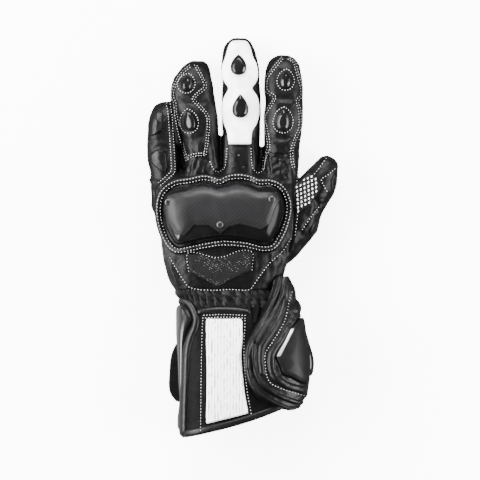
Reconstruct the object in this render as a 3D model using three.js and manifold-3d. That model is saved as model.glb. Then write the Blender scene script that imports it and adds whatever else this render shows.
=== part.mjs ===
// Leather racing gauntlet for the left hand, lying palm down on a table.
// Millimetres, +Z up out of the back of the hand, +Y towards the fingertips, +X towards the thumb.
// The origin is the centre of the outline, on the surface that the gauntlet lies on.
//
// The hand, the fingers, the thumb and the cuff are lofts. Each one has a short table of sections, whose
// columns are shares of that form's own length, width and thickness, and the same loft is grown or shrunk
// to make the outside of the leather, its inside, and the seat of each pad that lies on it.
import * as THREE from "three";
import { mergeVertices } from "three/addons/utils/BufferGeometryUtils.js";
import Module from "manifold-3d";

const wasm = await Module();
wasm.setup();

// Leather and clearances
const LEATHER = 2.4; // wall of hide and lining together
const PANEL = 1.6; // an overlaid panel
const GAP = 0.3; // between neighbouring pieces

// Hand
const PALM_LENGTH = 90; // wrist seam to finger crotches
const HAND_THICKNESS = 38; // table to back of the hand
const SIDE_INSET = 2.4; // how far the outer fingers stand proud of the palm's sides
const CROTCH_ROOT = 5.5; // finger root that belongs to the hand, beyond the crotches

// Fingers: lengths from the root inside the palm to the tip
const LITTLE_LENGTH = 67.5;
const RING_LENGTH = 97;
const MIDDLE_LENGTH = 111;
const INDEX_LENGTH = 98;
const LITTLE_WIDTH = 20.4;
const RING_WIDTH = 32.2;
const MIDDLE_WIDTH = 30;
const INDEX_WIDTH = 28.5;
const FINGER_THICKNESS = 26;
const LITTLE_THICKNESS = 23;
const FINGER_SPACING = 0.4; // little to ring and ring to middle, at their widest
const INDEX_SPACING = 2.2; // middle to index

// Thumb
const THUMB_LENGTH = 78.3;
const THUMB_WIDTH = 33;
const THUMB_THICKNESS = 27;
const THUMB_LEAN = 27.5; // degrees away from the index finger
const THUMB_STUB = 0.36; // share of the thumb that belongs to the hand

// Wrist and cuff
const GATHER_LENGTH = 8;
const GATHER_FOLDS = 12; // round the wrist
const GATHER_DEPTH = 1.1;
const CUFF_LENGTH = 90.8; // wrist to hem along the middle
const CUFF_WIDTH = 94.5;
const CUFF_THICKNESS = 50;
const HEM_SLANT = 13.5; // degrees
const HEM_HEIGHT = 5;
const HEM_PROUD = 1.6;

// Closing strap under the cuff
const STRAP_THICKNESS = 2.4;

// Hard parts and pads
const GUARD_RISE = 8.5; // knuckle guard above the hide
const PLATE_RISE = 1.4; // decorative plate above the guard
const ROLL_ACROSS = 4.6; // padded roll round the guard
const ROLL_RISE = 3.4;
const SCREW_HEAD = 6;
const SCREW_SOCKET = 2.6;
const SCREW_RISE = 1.1;
const STUD_RISE = 3.2;
const STUD_WIDTH = 9.4; // on the ring and index fingers
const MIDDLE_STUD_WIDTH = 11;
const TIP_STUD_LENGTH = 13.2; // over the joint below the fingertip
const KNUCKLE_STUD_LENGTH = 16.4;
const PAD_RISE = 2.2;
const PATCH = 1.2;
const RIB_COUNT = 7;
const RIB_GROOVE = 0.9;
const CUFF_PAD_RISE = 4.2;
const CUFF_ROLL_ACROSS = 4.6;
const CUFF_GUARD_RISE = 4.6;
const EDGE_ROLL_RISE = 2;
const SIDE_GUARD_RISE = 2.4;
const BRIDGE_ACROSS = 4.5; // leather bridge between the little and ring fingers
const BRIDGE_RISE = 2.3;

// Facets
const FINENESS = 0.13; // detail smaller than this is dropped
const FINGER_SIDES = 14;
const HAND_SIDES = 26;
const CUFF_SIDES = 28;
const OUTLINE_POINTS = 28;
const ROLL_POINTS = 10; // along a roll of the cuff
const STRAP_POINTS = 30;
const GUARD_POINTS = 32; // round the guard's roll and its plate
const HOLLOW_SIDES = 0.72; // share of the outside's facets
const ROLL_SIDES = 6;
const STUD_SIDES = 12;
const SCREW_SIDES = 12;
const SOCKET_SIDES = 6;

const radians = THREE.MathUtils.degToRad;

// Solids and meshes

// A surface through rings of equal point count, capped at both ends, or joined end to end as a loop.
function skin(rings, loop = false) {
  const count = rings[0].length;
  const points = rings.flat();
  const faces = [];
  const spans = loop ? rings.length : rings.length - 1;
  for (let r = 0; r < spans; r++) {
    const here = r * count;
    const next = ((r + 1) % rings.length) * count;
    for (let i = 0; i < count; i++) {
      const j = (i + 1) % count;
      faces.push([here + i, here + j, next + j], [here + i, next + j, next + i]);
    }
  }
  if (!loop) {
    const middleOf = (ring) => ring.reduce((sum, p) => sum.add(p), new THREE.Vector3()).divideScalar(count);
    const first = points.push(middleOf(rings[0])) - 1;
    const last = points.push(middleOf(rings.at(-1))) - 1;
    const end = (rings.length - 1) * count;
    for (let i = 0; i < count; i++) {
      const j = (i + 1) % count;
      faces.push([first, j, i], [last, end + i, end + j]);
    }
  }
  const geometry = new THREE.BufferGeometry().setFromPoints(points);
  geometry.setIndex(faces.flat());
  const solid = solidOf(geometry);
  if (solid.volume() > 0) return solid;
  geometry.setIndex(faces.map(([a, b, c]) => [a, c, b]).flat());
  return solidOf(geometry);
}

function solidOf(geometry) {
  const bare = new THREE.BufferGeometry().setAttribute("position", geometry.getAttribute("position"));
  bare.setIndex(geometry.index);
  const merged = mergeVertices(bare, 1e-4);
  return new wasm.Manifold(
    new wasm.Mesh({
      numProp: 3,
      vertProperties: new Float32Array(merged.attributes.position.array),
      triVerts: new Uint32Array(merged.index.array),
    }),
  );
}

function geometryOf(solid) {
  const mesh = solid.getMesh();
  const geometry = new THREE.BufferGeometry();
  geometry.setAttribute("position", new THREE.BufferAttribute(new Float32Array(mesh.vertProperties), 3));
  geometry.setIndex(new THREE.BufferAttribute(new Uint32Array(mesh.triVerts), 1));
  const faceted = geometry.toNonIndexed();
  faceted.computeVertexNormals();
  return faceted;
}

function join(solids) {
  return solids.reduce((sum, solid) => sum.add(solid));
}

// The upright prism over a closed outline of [x, y] points.
function prism(outline, low, high) {
  return skin([low, high].map((z) => outline.map(([x, y]) => new THREE.Vector3(x, y, z))));
}

// Points evenly spaced on a smooth curve through the given [x, y] points.
function smooth(points, closed = true, count = OUTLINE_POINTS) {
  const curve = new THREE.CatmullRomCurve3(
    points.map(([x, y]) => new THREE.Vector3(x, y, 0)),
    closed,
    "centripetal",
  );
  const spaced = curve.getSpacedPoints(closed ? count : count - 1).map((p) => [p.x, p.y]);
  return closed ? spaced.slice(0, -1) : spaced;
}

// Forms: lofts whose tables are shares of their own sizes

const table = (names, rows) => rows.map((row) => Object.fromEntries(names.map((name, i) => [name, row[i]])));
const SECTION = ["along", "shift", "wide", "low", "high"];
const bent = (value, power) => Math.sign(value) * Math.abs(value) ** (2 / power);

// A form's own [across, along] in millimetres to the hand's [x, y].
function placed(form, [across, along]) {
  const turn = radians(form.lean ?? 0);
  return [
    form.base[0] + across * Math.cos(turn) + along * Math.sin(turn),
    form.base[1] - across * Math.sin(turn) + along * Math.cos(turn),
  ];
}

// An outline given in shares of a form's width and length.
function onForm(form, shares) {
  const forward = form.length * form.heading;
  return shares.map(([across, along]) => placed(form, [across * form.width, along * forward]));
}

function ringOf(form, row, grow, ripple = () => 0) {
  const middle = ((row.high + row.low) * form.thickness) / 2;
  const tall = ((row.high - row.low) * form.thickness) / 2;
  return Array.from({ length: form.sides }, (_, i) => {
    const angle = (2 * Math.PI * i) / form.sides;
    const out = grow + ripple(angle);
    const halfWide = Math.max((row.wide * form.width) / 2 + out, LEATHER / 4);
    const halfTall = Math.max(tall + out, LEATHER / 4);
    const across = row.shift * form.width + halfWide * bent(Math.cos(angle), form.power);
    const up = middle + halfTall * bent(Math.sin(angle), form.power);
    const [x, y] = placed(form, [across, form.heading * row.along * (form.length + grow)]);
    return new THREE.Vector3(x, y, Math.max(up, form.floor - grow));
  });
}

function solidForm(form, grow = 0) {
  return skin(form.rows.map((row) => ringOf(form, row, grow)));
}

// The hollow of a form, with fewer facets than its outside.
function hollowForm(form, wall = LEATHER) {
  const rows = form.rows.filter((_, i) => i % 2 === 0 || i === form.rows.length - 1);
  const sides = Math.round(form.sides * HOLLOW_SIDES);
  return skin(rows.map((row) => ringOf({ ...form, sides }, row, -wall)));
}

// Height of a form's upper surface over a point, or -Infinity beside it.
function topOf(form, [x, y]) {
  const turn = radians(form.lean ?? 0);
  const [dx, dy] = [x - form.base[0], y - form.base[1]];
  const across = dx * Math.cos(turn) - dy * Math.sin(turn);
  const along = ((dx * Math.sin(turn) + dy * Math.cos(turn)) * form.heading) / form.length;
  const next = form.rows.findIndex((row) => row.along >= along);
  if (next < 1) return -Infinity;
  const [a, b] = [form.rows[next - 1], form.rows[next]];
  const t = (along - a.along) / (b.along - a.along);
  const mix = (name) => a[name] + (b[name] - a[name]) * t;
  const side = Math.abs(across - mix("shift") * form.width) / ((mix("wide") * form.width) / 2);
  if (side >= 1) return -Infinity;
  const middle = ((mix("high") + mix("low")) * form.thickness) / 2;
  const tall = ((mix("high") - mix("low")) * form.thickness) / 2;
  return middle + tall * (1 - side ** form.power) ** (1 / form.power);
}

// Where the fingers stand: side by side across the hand
const littleX = LITTLE_WIDTH / 2;
const ringX = littleX + (LITTLE_WIDTH + RING_WIDTH) / 2 + FINGER_SPACING;
const middleX = ringX + (RING_WIDTH + MIDDLE_WIDTH) / 2 + FINGER_SPACING;
const indexX = middleX + (MIDDLE_WIDTH + INDEX_WIDTH) / 2 + INDEX_SPACING;
const handLeft = SIDE_INSET;
const handRight = indexX + INDEX_WIDTH / 2 - 1.25 * SIDE_INSET;
const handMiddle = (handLeft + handRight) / 2;
const handWidth = handRight - handLeft;

const palm = {
  base: [handMiddle, 0],
  heading: 1,
  length: PALM_LENGTH,
  width: handWidth,
  thickness: HAND_THICKNESS,
  floor: 0,
  power: 2.7,
  sides: HAND_SIDES,
  rows: table(SECTION, [
    [0.0, 0.014, 0.704, 0.04, 0.86],
    [0.09, 0.009, 0.779, -0.02, 0.9],
    [0.2, 0.009, 0.829, -0.06, 0.94],
    [0.333, 0.016, 0.884, -0.1, 0.97],
    [0.458, 0.028, 0.926, -0.1, 0.99],
    [0.625, 0.013, 0.983, -0.1, 1.0],
    [0.76, 0.002, 1.004, -0.1, 0.97],
    [0.87, 0.0, 1.005, -0.08, 0.86],
    [0.935, -0.002, 0.99, 0.0, 0.66],
    [0.983, 0.09, 0.68, 0.14, 0.5],
    [1.008, 0.09, 0.5, 0.22, 0.4],
  ]),
};

const finger = (x, root, length, width, thickness, rows) => ({
  base: [x, root * PALM_LENGTH],
  heading: 1,
  length,
  width,
  thickness,
  floor: 0,
  power: 2.35,
  sides: FINGER_SIDES,
  rows: table(SECTION, rows),
});

const little = finger(littleX, 0.817, LITTLE_LENGTH, LITTLE_WIDTH, LITTLE_THICKNESS, [
  [0.0, 0.09, 0.86, 0.0, 1.0],
  [0.2, 0.08, 1.0, -0.04, 1.02],
  [0.356, 0.02, 1.1, 0.0, 1.03],
  [0.5, 0.002, 1.085, 0.04, 1.04],
  [0.667, -0.01, 1.03, 0.05, 1.02],
  [0.8, 0.013, 1.0, 0.0, 0.95],
  [0.9, 0.07, 0.88, 0.0, 0.83],
  [0.96, 0.1, 0.66, 0.08, 0.66],
  [0.998, 0.14, 0.36, 0.28, 0.42],
]);
const ring = finger(ringX, 0.833, RING_LENGTH, RING_WIDTH, FINGER_THICKNESS, [
  [0.0, 0.09, 0.75, 0.0, 1.02],
  [0.171, 0.112, 0.79, -0.04, 1.02],
  [0.31, 0.1, 0.8, 0.0, 1.03],
  [0.465, 0.044, 0.863, 0.05, 1.05],
  [0.581, -0.014, 0.91, 0.07, 1.06],
  [0.7, -0.123, 0.992, 0.05, 1.0],
  [0.8, -0.138, 0.941, 0.0, 0.98],
  [0.88, -0.116, 0.81, -0.02, 0.88],
  [0.94, -0.064, 0.618, 0.0, 0.76],
  [0.976, -0.035, 0.44, 0.08, 0.6],
  [0.998, -0.03, 0.22, 0.24, 0.4],
]);
const middle = finger(middleX, 0.867, MIDDLE_LENGTH, MIDDLE_WIDTH, FINGER_THICKNESS, [
  [0.0, -0.01, 0.86, 0.0, 1.03],
  [0.122, 0.002, 0.89, -0.04, 1.03],
  [0.243, 0.03, 0.945, 0.0, 1.04],
  [0.378, 0.05, 0.965, 0.06, 1.06],
  [0.5, 0.045, 0.955, 0.08, 1.08],
  [0.6, 0.036, 0.935, 0.06, 1.03],
  [0.689, 0.028, 0.893, 0.02, 0.99],
  [0.79, 0.008, 0.93, 0.0, 0.98],
  [0.875, -0.008, 0.835, -0.02, 0.87],
  [0.94, -0.022, 0.725, 0.0, 0.76],
  [0.98, -0.02, 0.53, 0.08, 0.6],
  [0.998, -0.018, 0.29, 0.24, 0.4],
]);
const index = finger(indexX, 0.867, INDEX_LENGTH, INDEX_WIDTH, FINGER_THICKNESS, [
  [0.0, -0.02, 0.83, 0.0, 1.03],
  [0.123, -0.023, 0.874, -0.04, 1.03],
  [0.277, -0.018, 0.947, 0.0, 1.04],
  [0.4, 0.0, 1.004, 0.06, 1.06],
  [0.52, 0.028, 1.018, 0.07, 1.07],
  [0.64, 0.063, 0.94, 0.05, 1.02],
  [0.74, 0.05, 1.002, 0.0, 0.98],
  [0.86, 0.044, 0.916, -0.02, 0.88],
  [0.93, 0.042, 0.79, 0.0, 0.77],
  [0.975, 0.038, 0.56, 0.08, 0.6],
  [0.998, 0.045, 0.27, 0.24, 0.4],
]);
const thumb = {
  base: [handMiddle + 0.4 * handWidth, 0.333 * PALM_LENGTH],
  heading: 1,
  lean: THUMB_LEAN,
  length: THUMB_LENGTH,
  width: THUMB_WIDTH,
  thickness: THUMB_THICKNESS,
  floor: 0,
  power: 2.3,
  sides: FINGER_SIDES,
  rows: table(SECTION, [
    [-0.12, -0.04, 0.5, 0.0, 0.86],
    [0.0, -0.045, 0.77, -0.04, 0.96],
    [0.14, -0.03, 0.885, -0.06, 1.02],
    [0.3, 0.012, 0.96, -0.06, 1.04],
    [0.45, -0.03, 0.895, -0.04, 1.03],
    [0.58, -0.01, 0.864, 0.0, 1.0],
    [0.71, 0.036, 0.8, 0.02, 0.97],
    [0.82, 0.042, 0.667, 0.02, 0.92],
    [0.91, 0.04, 0.485, 0.05, 0.82],
    [0.97, 0.026, 0.36, 0.14, 0.68],
    [0.998, 0.01, 0.18, 0.3, 0.46],
  ]),
};
const fingers = { little, ring, middle, index };
const handForms = [palm, ...Object.values(fingers), thumb];
const handTop = (point) => Math.max(...handForms.map((form) => topOf(form, point)));

const cuffFloor = STRAP_THICKNESS + GAP;
const cuff = {
  base: [handMiddle + 0.133 * handWidth, -GATHER_LENGTH],
  heading: -1,
  length: CUFF_LENGTH,
  width: CUFF_WIDTH,
  thickness: CUFF_THICKNESS,
  floor: cuffFloor,
  power: 2.5,
  sides: CUFF_SIDES,
  rows: table(SECTION, [
    [-0.02, -0.095, 0.79, 0.05, 0.66],
    [0.0, -0.095, 0.8, 0.05, 0.67],
    [0.09, -0.05, 0.89, 0.03, 0.76],
    [0.25, -0.012, 0.965, 0.0, 0.87],
    [0.45, 0.003, 0.995, -0.02, 0.95],
    [0.65, 0.004, 1.0, -0.02, 0.99],
    [0.85, -0.01, 0.975, -0.02, 1.0],
    [1.0, -0.025, 0.945, -0.02, 0.99],
    [1.07, -0.045, 0.9, -0.02, 0.99],
    [1.14, -0.045, 0.84, -0.02, 0.98],
    [1.25, -0.045, 0.74, -0.02, 0.98],
  ]),
};
const cuffTop = (point) => topOf(cuff, point);

// Grown copies of the hand and the cuff, made once for each distance
const grownHands = new Map();
function hand(grow) {
  if (!grownHands.has(grow)) grownHands.set(grow, join(handForms.map((form) => solidForm(form, grow))));
  return grownHands.get(grow);
}
const grownCuffs = new Map();
function cuffSolid(grow) {
  if (!grownCuffs.has(grow)) grownCuffs.set(grow, solidForm(cuff, grow));
  return grownCuffs.get(grow);
}
const onHand = { solid: hand, top: handTop, form: palm };
const onCuff = { solid: cuffSolid, top: cuffTop, form: cuff };

// Pieces that lie on a form

const SEAT = GAP; // a piece on the hide
const SECOND_SEAT = PANEL + 2 * GAP; // a piece on a panel

const tops = (place, outline) => outline.map((point) => place.top(point)).filter(Number.isFinite);
const lowest = (place, outline) => Math.min(...tops(place, outline));

// An outline moved outwards from its own centre.
function wider(outline, by) {
  const centre = centreOf(outline);
  return outline.map(([x, y]) => {
    const away = Math.hypot(x - centre[0], y - centre[1]);
    return [x + ((x - centre[0]) * by) / away, y + ((y - centre[1]) * by) / away];
  });
}

function centreOf(outline) {
  return outline.reduce(([x, y], p) => [x + p[0] / outline.length, y + p[1] / outline.length], [0, 0]);
}

// A panel of even thickness that follows the surface inside an outline, down to the form's flank.
const FLANK = 0.6; // share of the form's thickness
function panelOn(place, outline, thickness = PANEL, seat = SEAT) {
  const low = Math.min(lowest(place, outline), place.form.thickness * FLANK) - thickness * 3;
  const slab = prism(outline, low, place.form.thickness * 2);
  return largest(slab.intersect(place.solid(seat + thickness)).subtract(place.solid(seat)));
}

// The height of the surface under a point, or beside it when the point overhangs the edge of the form.
const SEARCH = { least: 0.3, step: 0.03 }; // shares of the way from the outline's centre to the point
function surfaceNear(place, point, centre) {
  for (let share = 1; share > SEARCH.least; share -= SEARCH.step) {
    const top = place.top(point.map((value, i) => centre[i] + (value - centre[i]) * share));
    if (Number.isFinite(top)) return top;
  }
  return place.form.thickness / 2;
}

// A raised piece: its outline shrinks through the given steps, each a share of the outline and its rise.
// Its underside follows the surface, or stands level at the height given for a piece that wraps an edge.
function domeOn(place, outline, steps, { seat = SEAT, skirt = null } = {}) {
  const centre = centreOf(outline);
  const ringAt = (share, rise) =>
    outline.map((corner) => {
      const [x, y] = corner.map((value, i) => centre[i] + (value - centre[i]) * share);
      return new THREE.Vector3(x, y, surfaceNear(place, [x, y], centre) + rise);
    });
  const level = () => outline.map(([x, y]) => new THREE.Vector3(x, y, skirt));
  const under = skirt === null ? ringAt(1, -LEATHER) : level();
  const rings = [under, ...steps.map(([share, rise]) => ringAt(share, seat + rise))];
  return largest(skin(rings).subtract(place.solid(seat)));
}

// A padded roll along a path; it lies on the highest of the surface under its middle and its edges.
const ROLL_REACH = 0.6; // share of the roll's width
function rollOn(place, path, across, rise, closed = false, seat = SEAT) {
  const last = path.length - 1;
  const rings = path.map((point, i) => {
    const before = path[i === 0 ? (closed ? last : 0) : i - 1];
    const after = path[i === last ? (closed ? 0 : last) : i + 1];
    const length = Math.hypot(after[0] - before[0], after[1] - before[1]);
    const side = [(after[1] - before[1]) / length, -(after[0] - before[0]) / length];
    const moved = (out) => point.map((value, axis) => value + side[axis] * out);
    const around = [-ROLL_REACH, 0, ROLL_REACH].map((share) => moved(share * across));
    const centre = Math.max(...around.map((spot) => place.top(spot)), place.form.floor);
    return Array.from({ length: ROLL_SIDES }, (_, k) => {
      const angle = (2 * Math.PI * k) / ROLL_SIDES;
      const [x, y] = moved((Math.cos(angle) * across) / 2);
      return new THREE.Vector3(x, y, centre + seat + Math.sin(angle) * rise);
    });
  });
  return largest(skin(rings, closed).subtract(place.solid(seat)));
}

// Hollow hand, cut into the hand, four finger stalls and the thumb stall

const inside = join(handForms.map((form) => hollowForm(form)));
const rootCut = PALM_LENGTH + CROTCH_ROOT;
const thumbTurn = radians(THUMB_LEAN);
const thumbAxis = [Math.sin(thumbTurn), Math.cos(thumbTurn), 0];
const thumbCut = thumb.base[0] * thumbAxis[0] + thumb.base[1] * thumbAxis[1] + THUMB_STUB * THUMB_LENGTH;
const minus = (vector) => vector.map((value) => -value);

function fingerStall(form) {
  return solidForm(form).subtract(hollowForm(form)).trimByPlane([0, 1, 0], rootCut);
}

function handBody() {
  const roots = Object.values(fingers).map((form) => solidForm(form).trimByPlane([0, -1, 0], GAP - rootCut));
  const stub = solidForm(thumb).trimByPlane(minus(thumbAxis), GAP - thumbCut);
  const outside = join([solidForm(palm), ...roots, stub]);
  return outside.subtract(inside).trimByPlane([0, 1, 0], LEATHER / 2);
}

function thumbStall() {
  const tube = solidForm(thumb).subtract(hollowForm(thumb)).trimByPlane(thumbAxis, thumbCut);
  return largest(tube.subtract(solidForm(palm, GAP)).subtract(solidForm(index, GAP)));
}

function largest(solid) {
  return solid.decompose().sort((a, b) => b.volume() - a.volume())[0];
}

// Wrist and cuff

// The gathered band between the hand and the cuff: its outline blends from one to the other and ripples.
const WRIST_MIDDLE = 0.44; // height of the wrist's centre as a share of the hand's thickness
const RIPPLE_SINK = 0.6; // the ripple lies this share of its depth below the outline on average
function gatherSolid(grow, shares = [0, 0.25, 0.5, 0.75, 1], sides = 4 * GATHER_FOLDS) {
  const from = ringOf(palm, palm.rows[0], 0);
  const to = ringOf(cuff, cuff.rows[1], 0);
  const pick = (points, share) => {
    const spot = share * points.length;
    const i = Math.floor(spot);
    return points[i % points.length].clone().lerp(points[(i + 1) % points.length], spot - i);
  };
  const [start, end] = [LEATHER / 2 - GAP, GAP - GATHER_LENGTH];
  const centre = new THREE.Vector2((from[0].x + from[HAND_SIDES / 2].x) / 2, HAND_THICKNESS * WRIST_MIDDLE);
  const ringAt = (share) =>
    Array.from({ length: sides }, (_, k) => {
      const turn = k / sides;
      const point = pick(from, turn).lerp(pick(to, turn), share);
      const out = new THREE.Vector2(point.x, point.z).sub(centre).normalize();
      const ripple = Math.cos(2 * Math.PI * GATHER_FOLDS * turn) - RIPPLE_SINK;
      const move = grow + GATHER_DEPTH * Math.sin(Math.PI * share) * ripple;
      const y = start + (end - start) * share;
      return new THREE.Vector3(point.x + out.x * move, y, Math.max(point.z + out.y * move, -grow));
    });
  return skin(shares.map(ringAt));
}

function wristGather() {
  return gatherSolid(0).subtract(gatherSolid(-LEATHER * 0.75, [-0.1, 0.5, 1.1], 2 * GATHER_FOLDS));
}

const hemTurn = radians(HEM_SLANT);
const hemUp = [-Math.sin(hemTurn), Math.cos(hemTurn), 0]; // from the hem into the cuff
const hemMiddle = [cuff.base[0], cuff.base[1] - CUFF_LENGTH, 0];
const hemEdge = hemMiddle[0] * hemUp[0] + hemMiddle[1] * hemUp[1];

function aboveHem(solid) {
  return solid.trimByPlane(hemUp, hemEdge + HEM_HEIGHT + GAP);
}

function cuffShell() {
  return aboveHem(cuffSolid(0).subtract(hollowForm(cuff)).trimByPlane([0, -1, 0], GATHER_LENGTH));
}

function cuffHem() {
  return cuffSolid(HEM_PROUD)
    .subtract(hollowForm(cuff, LEATHER + HEM_PROUD / 2))
    .trimByPlane([0, 0, 1], cuffFloor)
    .trimByPlane(hemUp, hemEdge)
    .trimByPlane(minus(hemUp), -hemEdge - HEM_HEIGHT);
}

// White panel on the cuff with fine tucks along it
const WHITE_PANEL = [
  [-0.298, 0.184], [-0.282, 0.15], [-0.024, 0.15], [0.004, 0.184], [0, 0.375], [-0.008, 0.541],
  [0.008, 0.708], [0.036, 0.85], [0.055, 0.946], [-0.29, 1.05],
];

// The tucks, in the same shares: the first and last place across, and their middle and length along
const TUCKS = { left: -0.288, right: -0.004, middle: 0.6, length: 0.7 };
function cuffWhitePanel() {
  let panel = panelOn(onCuff, onForm(cuff, WHITE_PANEL), PANEL, SEAT);
  for (let i = 0; i < RIB_COUNT; i++) {
    const across = TUCKS.left + ((TUCKS.right - TUCKS.left) * (i + 0.5)) / RIB_COUNT;
    const [x, y] = onForm(cuff, [[across, TUCKS.middle]])[0];
    const groove = new THREE.BoxGeometry(RIB_GROOVE, CUFF_LENGTH * TUCKS.length, CUFF_THICKNESS);
    groove.translate(x, y, CUFF_THICKNESS / 2);
    panel = panel.subtract(solidOf(groove).subtract(cuffSolid(SEAT + PANEL / 2)));
  }
  return aboveHem(panel);
}

// Chevron pad, rolls and hard guards on the thumb side of the cuff
const CUFF_PAD = [
  [0.3, -0.165], [0.345, -0.19], [0.4, -0.09], [0.452, 0.025], [0.472, 0.184], [0.492, 0.375],
  [0.5, 0.583], [0.492, 0.734], [0.452, 0.85], [0.389, 0.9], [0.301, 0.867], [0.159, 0.774],
  [0.051, 0.641], [0.02, 0.534], [0.028, 0.433], [0.079, 0.317], [0.19, 0.15], [0.278, -0.025],
];
const PAD_EDGE = [[1, 0.3], [0.95, 0.4 * CUFF_PAD_RISE], [0.5, 0.5 * CUFF_PAD_RISE]];
const OUTER_ROLL = [
  [0.335, -0.13], [0.292, -0.01], [0.208, 0.16], [0.1, 0.32], [0.052, 0.433], [0.046, 0.534],
  [0.078, 0.63], [0.17, 0.745], [0.301, 0.835], [0.38, 0.862],
];
const INNER_ROLL = [
  [0.378, -0.06], [0.343, 0.05], [0.268, 0.2], [0.168, 0.36], [0.118, 0.46], [0.112, 0.55],
  [0.15, 0.635], [0.245, 0.715], [0.37, 0.775], [0.44, 0.8],
];
const CUFF_GUARD = [
  [0.435, 0.146], [0.4, 0.208], [0.372, 0.241], [0.331, 0.318], [0.258, 0.433], [0.253, 0.468],
  [0.283, 0.542], [0.3, 0.595], [0.361, 0.623], [0.463, 0.666], [0.466, 0.583], [0.464, 0.375],
  [0.453, 0.233], [0.447, 0.16],
];
const GUARD_EDGE = [[1, 0.5], [0.84, CUFF_GUARD_RISE], [0.4, CUFF_GUARD_RISE]];
const SIDE_GUARD = [
  [0.474, 0.208], [0.51, 0.225], [0.548, 0.575], [0.54, 0.64], [0.474, 0.64],
];

// The pad wraps the edge of the cuff and reaches over the wrist; it carries two padded rolls and stops round
// the two guards that are set into it.
const PAD_SKIRT = CUFF_THICKNESS * 0.3; // height of the pad's lower edge on the cuff's side
function cuffPad() {
  const outline = smooth(onForm(cuff, CUFF_PAD), true, 26);
  const middle = centreOf(outline);
  const onPad = { ...onCuff, top: (point) => surfaceNear(onCuff, point, middle) };
  const body = domeOn(onCuff, outline, PAD_EDGE, { seat: 0, skirt: PAD_SKIRT });
  const rolls = [OUTER_ROLL, INNER_ROLL].map((path) => {
    const line = smooth(onForm(cuff, path), false, ROLL_POINTS);
    return rollOn(onPad, line, CUFF_ROLL_ACROSS, CUFF_PAD_RISE);
  });
  const wells = [CUFF_GUARD, SIDE_GUARD].map((guard) => {
    const well = wider(onForm(cuff, guard), 2 * GAP);
    return prism(well, 0, CUFF_THICKNESS * 2);
  });
  const cut = join([...wells, cuffSolid(SEAT), solidForm(palm, SEAT), gatherSolid(SEAT)]);
  return largest(aboveHem(join([body, ...rolls]).subtract(cut)));
}

const SIDE_GUARD_SPAN = [CUFF_THICKNESS * 0.34, CUFF_THICKNESS * 0.68]; // its lowest and highest edge
function cuffSideGuard() {
  const block = prism(onForm(cuff, SIDE_GUARD), ...SIDE_GUARD_SPAN);
  return block.intersect(cuffSolid(SEAT + SIDE_GUARD_RISE)).subtract(cuffSolid(SEAT));
}

// Hard strip and its roll on the little-finger side of the cuff
const EDGE_GUARD = [
  [-0.53, 0.045], [-0.497, 0.034], [-0.457, 0.038], [-0.43, 0.067], [-0.41, 0.109], [-0.4, 0.15],
  [-0.414, 0.195], [-0.442, 0.253], [-0.464, 0.327], [-0.476, 0.41], [-0.483, 0.509], [-0.489, 0.658],
  [-0.497, 0.823], [-0.505, 1.071], [-0.506, 1.1], [-0.53, 1.1],
];
const EDGE_ROLL = [
  [-0.467, 0.014], [-0.43, 0.024], [-0.4, 0.071], [-0.38, 0.121], [-0.373, 0.17], [-0.388, 0.228],
  [-0.416, 0.294], [-0.44, 0.369], [-0.453, 0.468], [-0.461, 0.658], [-0.469, 0.823], [-0.48, 1.12],
];

const EDGE_GUARD_FOOT = CUFF_THICKNESS * 0.2;
const BESIDE_CUFF = -0.56; // a place left of the cuff, as a share of its width
function cuffEdgeGuard() {
  const well = cuffEdgeRoll(GAP);
  const [left] = onForm(cuff, [[BESIDE_CUFF, 0]])[0];
  const outline = onForm(cuff, EDGE_GUARD);
  outline[0][0] = left;
  outline.at(-1)[0] = left;
  const block = prism(outline, EDGE_GUARD_FOOT, CUFF_THICKNESS * 2);
  const strip = block.intersect(cuffSolid(SEAT + SIDE_GUARD_RISE)).subtract(cuffSolid(SEAT));
  return largest(aboveHem(strip.subtract(well)));
}

function cuffEdgeRoll(grow = 0) {
  const line = smooth(onForm(cuff, EDGE_ROLL), false, ROLL_POINTS + 4);
  return aboveHem(rollOn(onCuff, line, CUFF_ROLL_ACROSS + 2 * grow, EDGE_ROLL_RISE + 2 * grow));
}

// Closing strap, flat on the table under the cuff, with its tip past the little-finger side
const STRAP = [
  [-0.49, 0.36], [-0.528, 0.38], [-0.564, 0.483], [-0.584, 0.634], [-0.582, 0.734], [-0.56, 0.795],
  [-0.516, 0.842], [0.36, 0.72], [0.41, 0.68], [0.41, 0.3], [0.36, 0.27],
];
function cuffStrap() {
  return prism(smooth(onForm(cuff, STRAP), true, STRAP_POINTS), 0, STRAP_THICKNESS);
}

// Finger panels: left and right edges, in shares of the finger's width, at shares of its length
const EDGES = ["along", "left", "right"];
const RING_PANEL = table(EDGES, [
  [0.965, -0.19, -0.05], [0.89, -0.42, 0.04], [0.8, -0.55, 0.16], [0.744, -0.56, 0.02],
  [0.7, -0.53, -0.1], [0.636, -0.48, 0.09], [0.566, -0.47, 0.22], [0.48, -0.43, 0.23],
  [0.388, -0.37, 0.17], [0.27, -0.28, 0.16],
]);
const MIDDLE_PANEL = table(EDGES, [
  [0.985, -0.12, 0.07], [0.966, -0.22, 0.17], [0.919, -0.3, 0.26], [0.872, -0.375, 0.35],
  [0.81, -0.45, 0.44], [0.743, -0.46, 0.45], [0.696, -0.375, 0.4], [0.655, -0.29, 0.31],
  [0.608, -0.375, 0.42], [0.554, -0.45, 0.48], [0.486, -0.46, 0.49], [0.419, -0.42, 0.46],
  [0.365, -0.35, 0.34], [0.274, -0.29, 0.29],
]);
const INDEX_PANEL = table(EDGES, [
  [0.969, -0.08, 0.24], [0.908, -0.26, 0.39], [0.815, -0.38, 0.46], [0.723, -0.36, 0.5],
  [0.66, -0.18, 0.39], [0.608, -0.33, 0.46], [0.546, -0.42, 0.48], [0.454, -0.44, 0.47],
  [0.369, -0.38, 0.38], [0.254, -0.33, 0.24],
]);
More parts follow.
